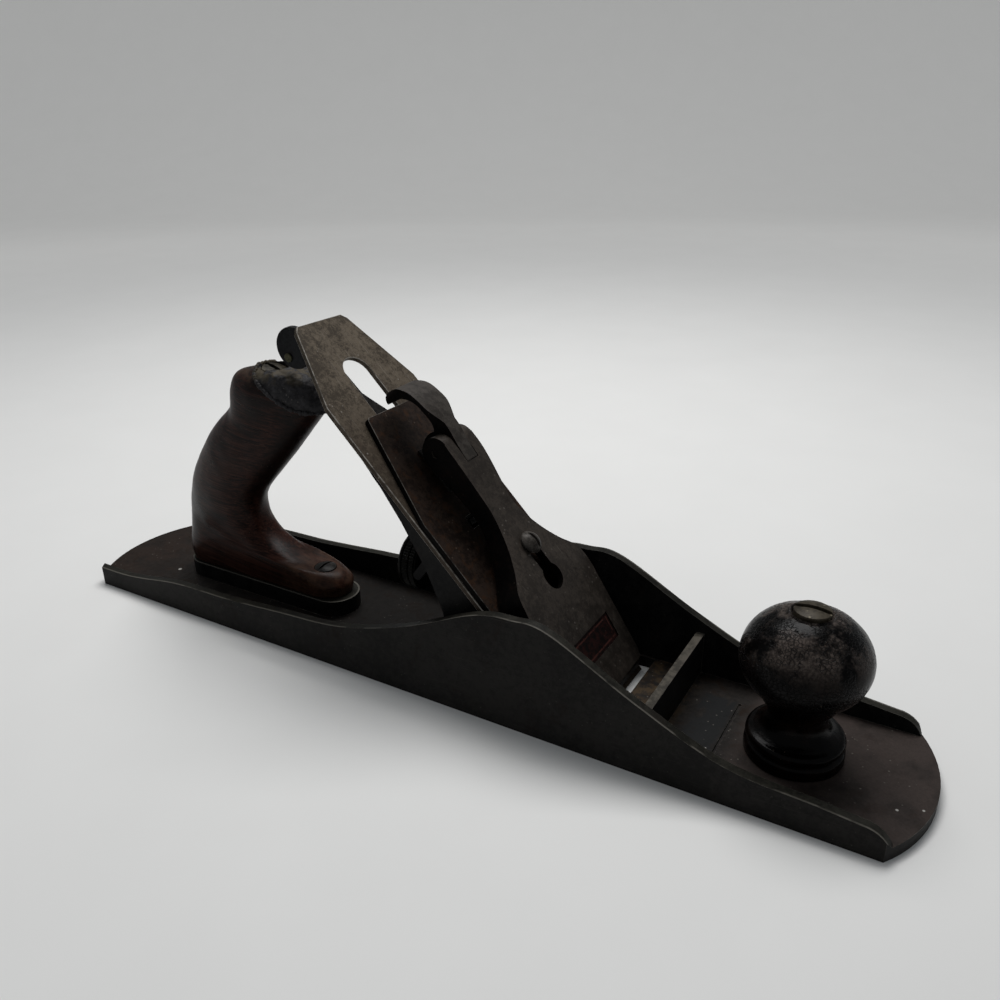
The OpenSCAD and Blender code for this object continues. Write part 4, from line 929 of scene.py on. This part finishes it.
WHEEL_X, WHEEL_R, WHEEL_RIM, WHEEL_GROOVE = -15.8, 11.5, 7.6, 4.8
WHEEL_NECK_R, WHEEL_FLANGE_R, WHEEL_FLANGE = 5, 7, 1.8
BANDS = ((2.1, 4.4), (5.1, 7.0))
TOOTH = 0.8
STUD_Z, STUD_R = 38, 3.5
STUD_BACK, STUD_FRONT, COLLAR_X, COLLAR_THICKNESS = -12.4, 19.5, 6.5, 1.4
THREAD_PITCH = 1.27


def onto_stud(piece, x):
    """Turns a piece made about Z onto the stud's line, with its foot at x."""
    cyclic = Matrix(((0, 0, 1, 0), (1, 0, 0, 0), (0, 1, 0, 0), (0, 0, 0, 1)))
    piece.data.transform(Matrix.Translation(Vector((x, 0, STUD_Z)) * MM) @ cyclic)
    return piece


band_r = WHEEL_R - 0.5
between_bands = WHEEL_R - 1.1
rim_back = WHEEL_RIM + WHEEL_GROOVE
flange_back = rim_back + WHEEL_FLANGE
wheel_line = [(STUD_R + 0.05, 0), (7.2, 0), (7.5, 0.25), (8.6, 0.25), (8.9, 0)]
wheel_line += arc((WHEEL_R - 1.2, 1.2), 1.2, -80, -8, 6)
wheel_line += [(WHEEL_R - 0.1, 1.5), (WHEEL_R - 0.7, 1.8), (WHEEL_R - 0.7, 2.0)]
for low, high in BANDS:
    wheel_line += [(band_r, low), (band_r, high), (between_bands, high + 0.1),
                   (between_bands, high + 0.5)]
wheel_line += [(WHEEL_NECK_R, WHEEL_RIM), (WHEEL_NECK_R, rim_back),
               (WHEEL_FLANGE_R - 0.2, rim_back), (WHEEL_FLANGE_R, rim_back + 0.2),
               (WHEEL_FLANGE_R, flange_back - 0.2), (WHEEL_FLANGE_R - 0.2, flange_back),
               (STUD_R + 0.05, flange_back)]
wheel_piece = lathe("depth_wheel_piece", wheel_line, (WHEEL_X, 0, STUD_Z), 160, "X")
coats(wheel_piece, wheel_steel)
shade(wheel_piece, 30)
stand_for(wheel_piece, "depth_wheel")

knurl = Pattern("teeth round a rim", Teeth=60, Radius=0.01, Start=0.0, Length=0.002, Tooth=0.001)
rim = knurl.node("GeometryNodeMeshCircle", Vertices=knurl["Teeth"], Radius=knurl["Radius"])
tooth = knurl.node("GeometryNodeMeshCube",
                   Size=knurl.combined(knurl["Tooth"], knurl["Tooth"], knurl["Length"]))
facing = knurl.node("GeometryNodeInputIndex") * (2 * pi / knurl["Teeth"]) + pi / 4
teeth = knurl.node("GeometryNodeInstanceOnPoints", Points=rim, Instance=tooth,
                   Rotation=knurl.combined(z=facing))
knurl.end(knurl.node("GeometryNodeTransform", Geometry=teeth, Translation=knurl.combined(
    z=knurl["Start"] + knurl["Length"] * 0.5)), wheel_steel)
for number, (low, high) in enumerate(BANDS, 1):
    band = knurl.made(f"wheel_knurling_{number}", Radius=(WHEEL_R - TOOTH * sqrt(0.5)) * MM,
                      Start=low * MM, Length=(high - low) * MM, Tooth=TOOTH * MM)
    ride_with(onto_stud(band, WHEEL_X), "depth_wheel")

stud_piece = rod("adjusting_stud_piece", (STUD_BACK, 0, STUD_Z), (STUD_FRONT, 0, STUD_Z),
                 STUD_R - 0.35)
collar = rod("collar", (COLLAR_X, 0, STUD_Z), (COLLAR_X + COLLAR_THICKNESS, 0, STUD_Z),
             STUD_R + 1.2)
carve(stud_piece, collar, "UNION")
slot = prism("slot", [(STUD_BACK - 1, STUD_Z - 0.5), (STUD_BACK + 1.5, STUD_Z - 0.5),
                      (STUD_BACK + 1.5, STUD_Z + 0.5), (STUD_BACK - 1, STUD_Z + 0.5)], 8)
carve(stud_piece, slot)
coats(stud_piece, dark_steel)
shade(stud_piece)
stand_for(stud_piece, "adjusting_stud")

thread = Pattern("thread round a rod", Turns=10.0, Radius=0.003, Length=0.01, Ridge=0.0003)
helix = thread.node("GeometryNodeCurveSpiral", Resolution=28, Rotations=thread["Turns"],
                    Start_Radius=thread["Radius"], End_Radius=thread["Radius"],
                    Height=thread["Length"])
ridge = thread.node("GeometryNodeCurvePrimitiveCircle", Resolution=4, Radius=thread["Ridge"])
thread.end(thread.node("GeometryNodeCurveToMesh", Curve=helix, Profile_Curve=ridge,
                       Fill_Caps=True), dark_steel)
run = COLLAR_X - STUD_BACK - 2.4
threads = thread.made("adjusting_stud_thread", Turns=run / THREAD_PITCH,
                      Radius=(STUD_R - 0.33) * MM, Length=run * MM, Ridge=0.3 * MM)
ride_with(onto_stud(threads, STUD_BACK + 2), "adjusting_stud")


# Floor, light and camera

def paper_sweep():
    """A paper floor that bends up behind the plane, with a painted glow that makes it look lighter
    far off.
    """
    finish = Finish("pale paper")
    paper = finish.noise(60, 3)
    # Painted glow: paper far from the plane emits light, seen only by the camera.
    far = (finish.x * finish.x + finish.y * finish.y).rise(350 ** 2, 1250 ** 2)
    seen = finish.node("ShaderNodeLightPath", output="Is Camera Ray")
    finish.done(Base_Color=finish.blend(paper, (0.66, 0.655, 0.64), (0.7, 0.695, 0.68)),
                Emission_Color=finish.blend(far * seen, (0, 0, 0), (0.2, 0.197, 0.19)),
                Emission_Strength=1.0, Roughness=0.75)
    half, back, lift, bend = 2400, 1900, 1700, 600
    profile = [(-half, 0)]
    profile += [(back - bend + bend * sin(radians(a)), bend - bend * cos(radians(a)))
                for a in range(0, 91, 6)]
    profile += [(back, lift)]
    count = len(profile)
    sheet = new_piece("paper_sweep", [(x, y, z) for x in (-half, half) for y, z in profile],
                      [(i, i + count, i + count + 1, i + 1) for i in range(count - 1)])
    sheet.data.transform(Matrix.Rotation(radians(28), 4, "Z"))
    coats(sheet, finish.material)
    shade(sheet, 60)


def room():
    """The pale light from all around."""
    world = bpy.data.worlds.new("room")
    bpy.context.scene.world = world
    world.use_nodes = True
    background = world.node_tree.nodes["Background"]
    background.inputs["Color"].default_value = (0.9, 0.95, 1.0, 1)
    background.inputs["Strength"].default_value = 0.27


def top_softbox():
    """One large lamp over the plane's far side."""
    place, aim = Vector((-130, 270, 820)), Vector((-20, 60, 0))
    light = bpy.data.lights.new("top softbox", "AREA")
    light.shape = "RECTANGLE"
    light.size, light.size_y = 640 * MM, 440 * MM
    light.energy = 7.2
    lamp = bpy.data.objects.new("top softbox", light)
    bpy.context.scene.collection.objects.link(lamp)
    lamp.location = place * MM
    lamp.rotation_euler = (aim - place).to_track_quat("-Z", "Y").to_euler()


def camera():
    """The camera, solved from the photograph."""
    place = Vector((175.15, -256.34, 204.22))
    azimuth, drop, roll = radians(30.64), radians(24.18), radians(0.797)
    focal_share = 0.92318
    ahead = Vector((-sin(azimuth) * cos(drop), cos(azimuth) * cos(drop), -sin(drop)))
    right = Vector((cos(azimuth), sin(azimuth), 0))
    down = ahead.cross(right)
    right_rolled = cos(roll) * right + sin(roll) * down
    down_rolled = -sin(roll) * right + cos(roll) * down
    lens = bpy.data.cameras.new("photo camera")
    lens.sensor_width = 36
    lens.lens = 36 * focal_share
    lens.clip_start = 0.01
    eye = bpy.data.objects.new("photo camera", lens)
    bpy.context.scene.collection.objects.link(eye)
    turn = Matrix((right_rolled, -down_rolled, -ahead)).transposed()
    eye.matrix_world = Matrix.Translation(place * MM) @ turn.to_4x4()
    bpy.context.scene.camera = eye


paper_sweep()
room()
top_softbox()
camera()
bpy.context.scene.view_settings.view_transform = "Standard"
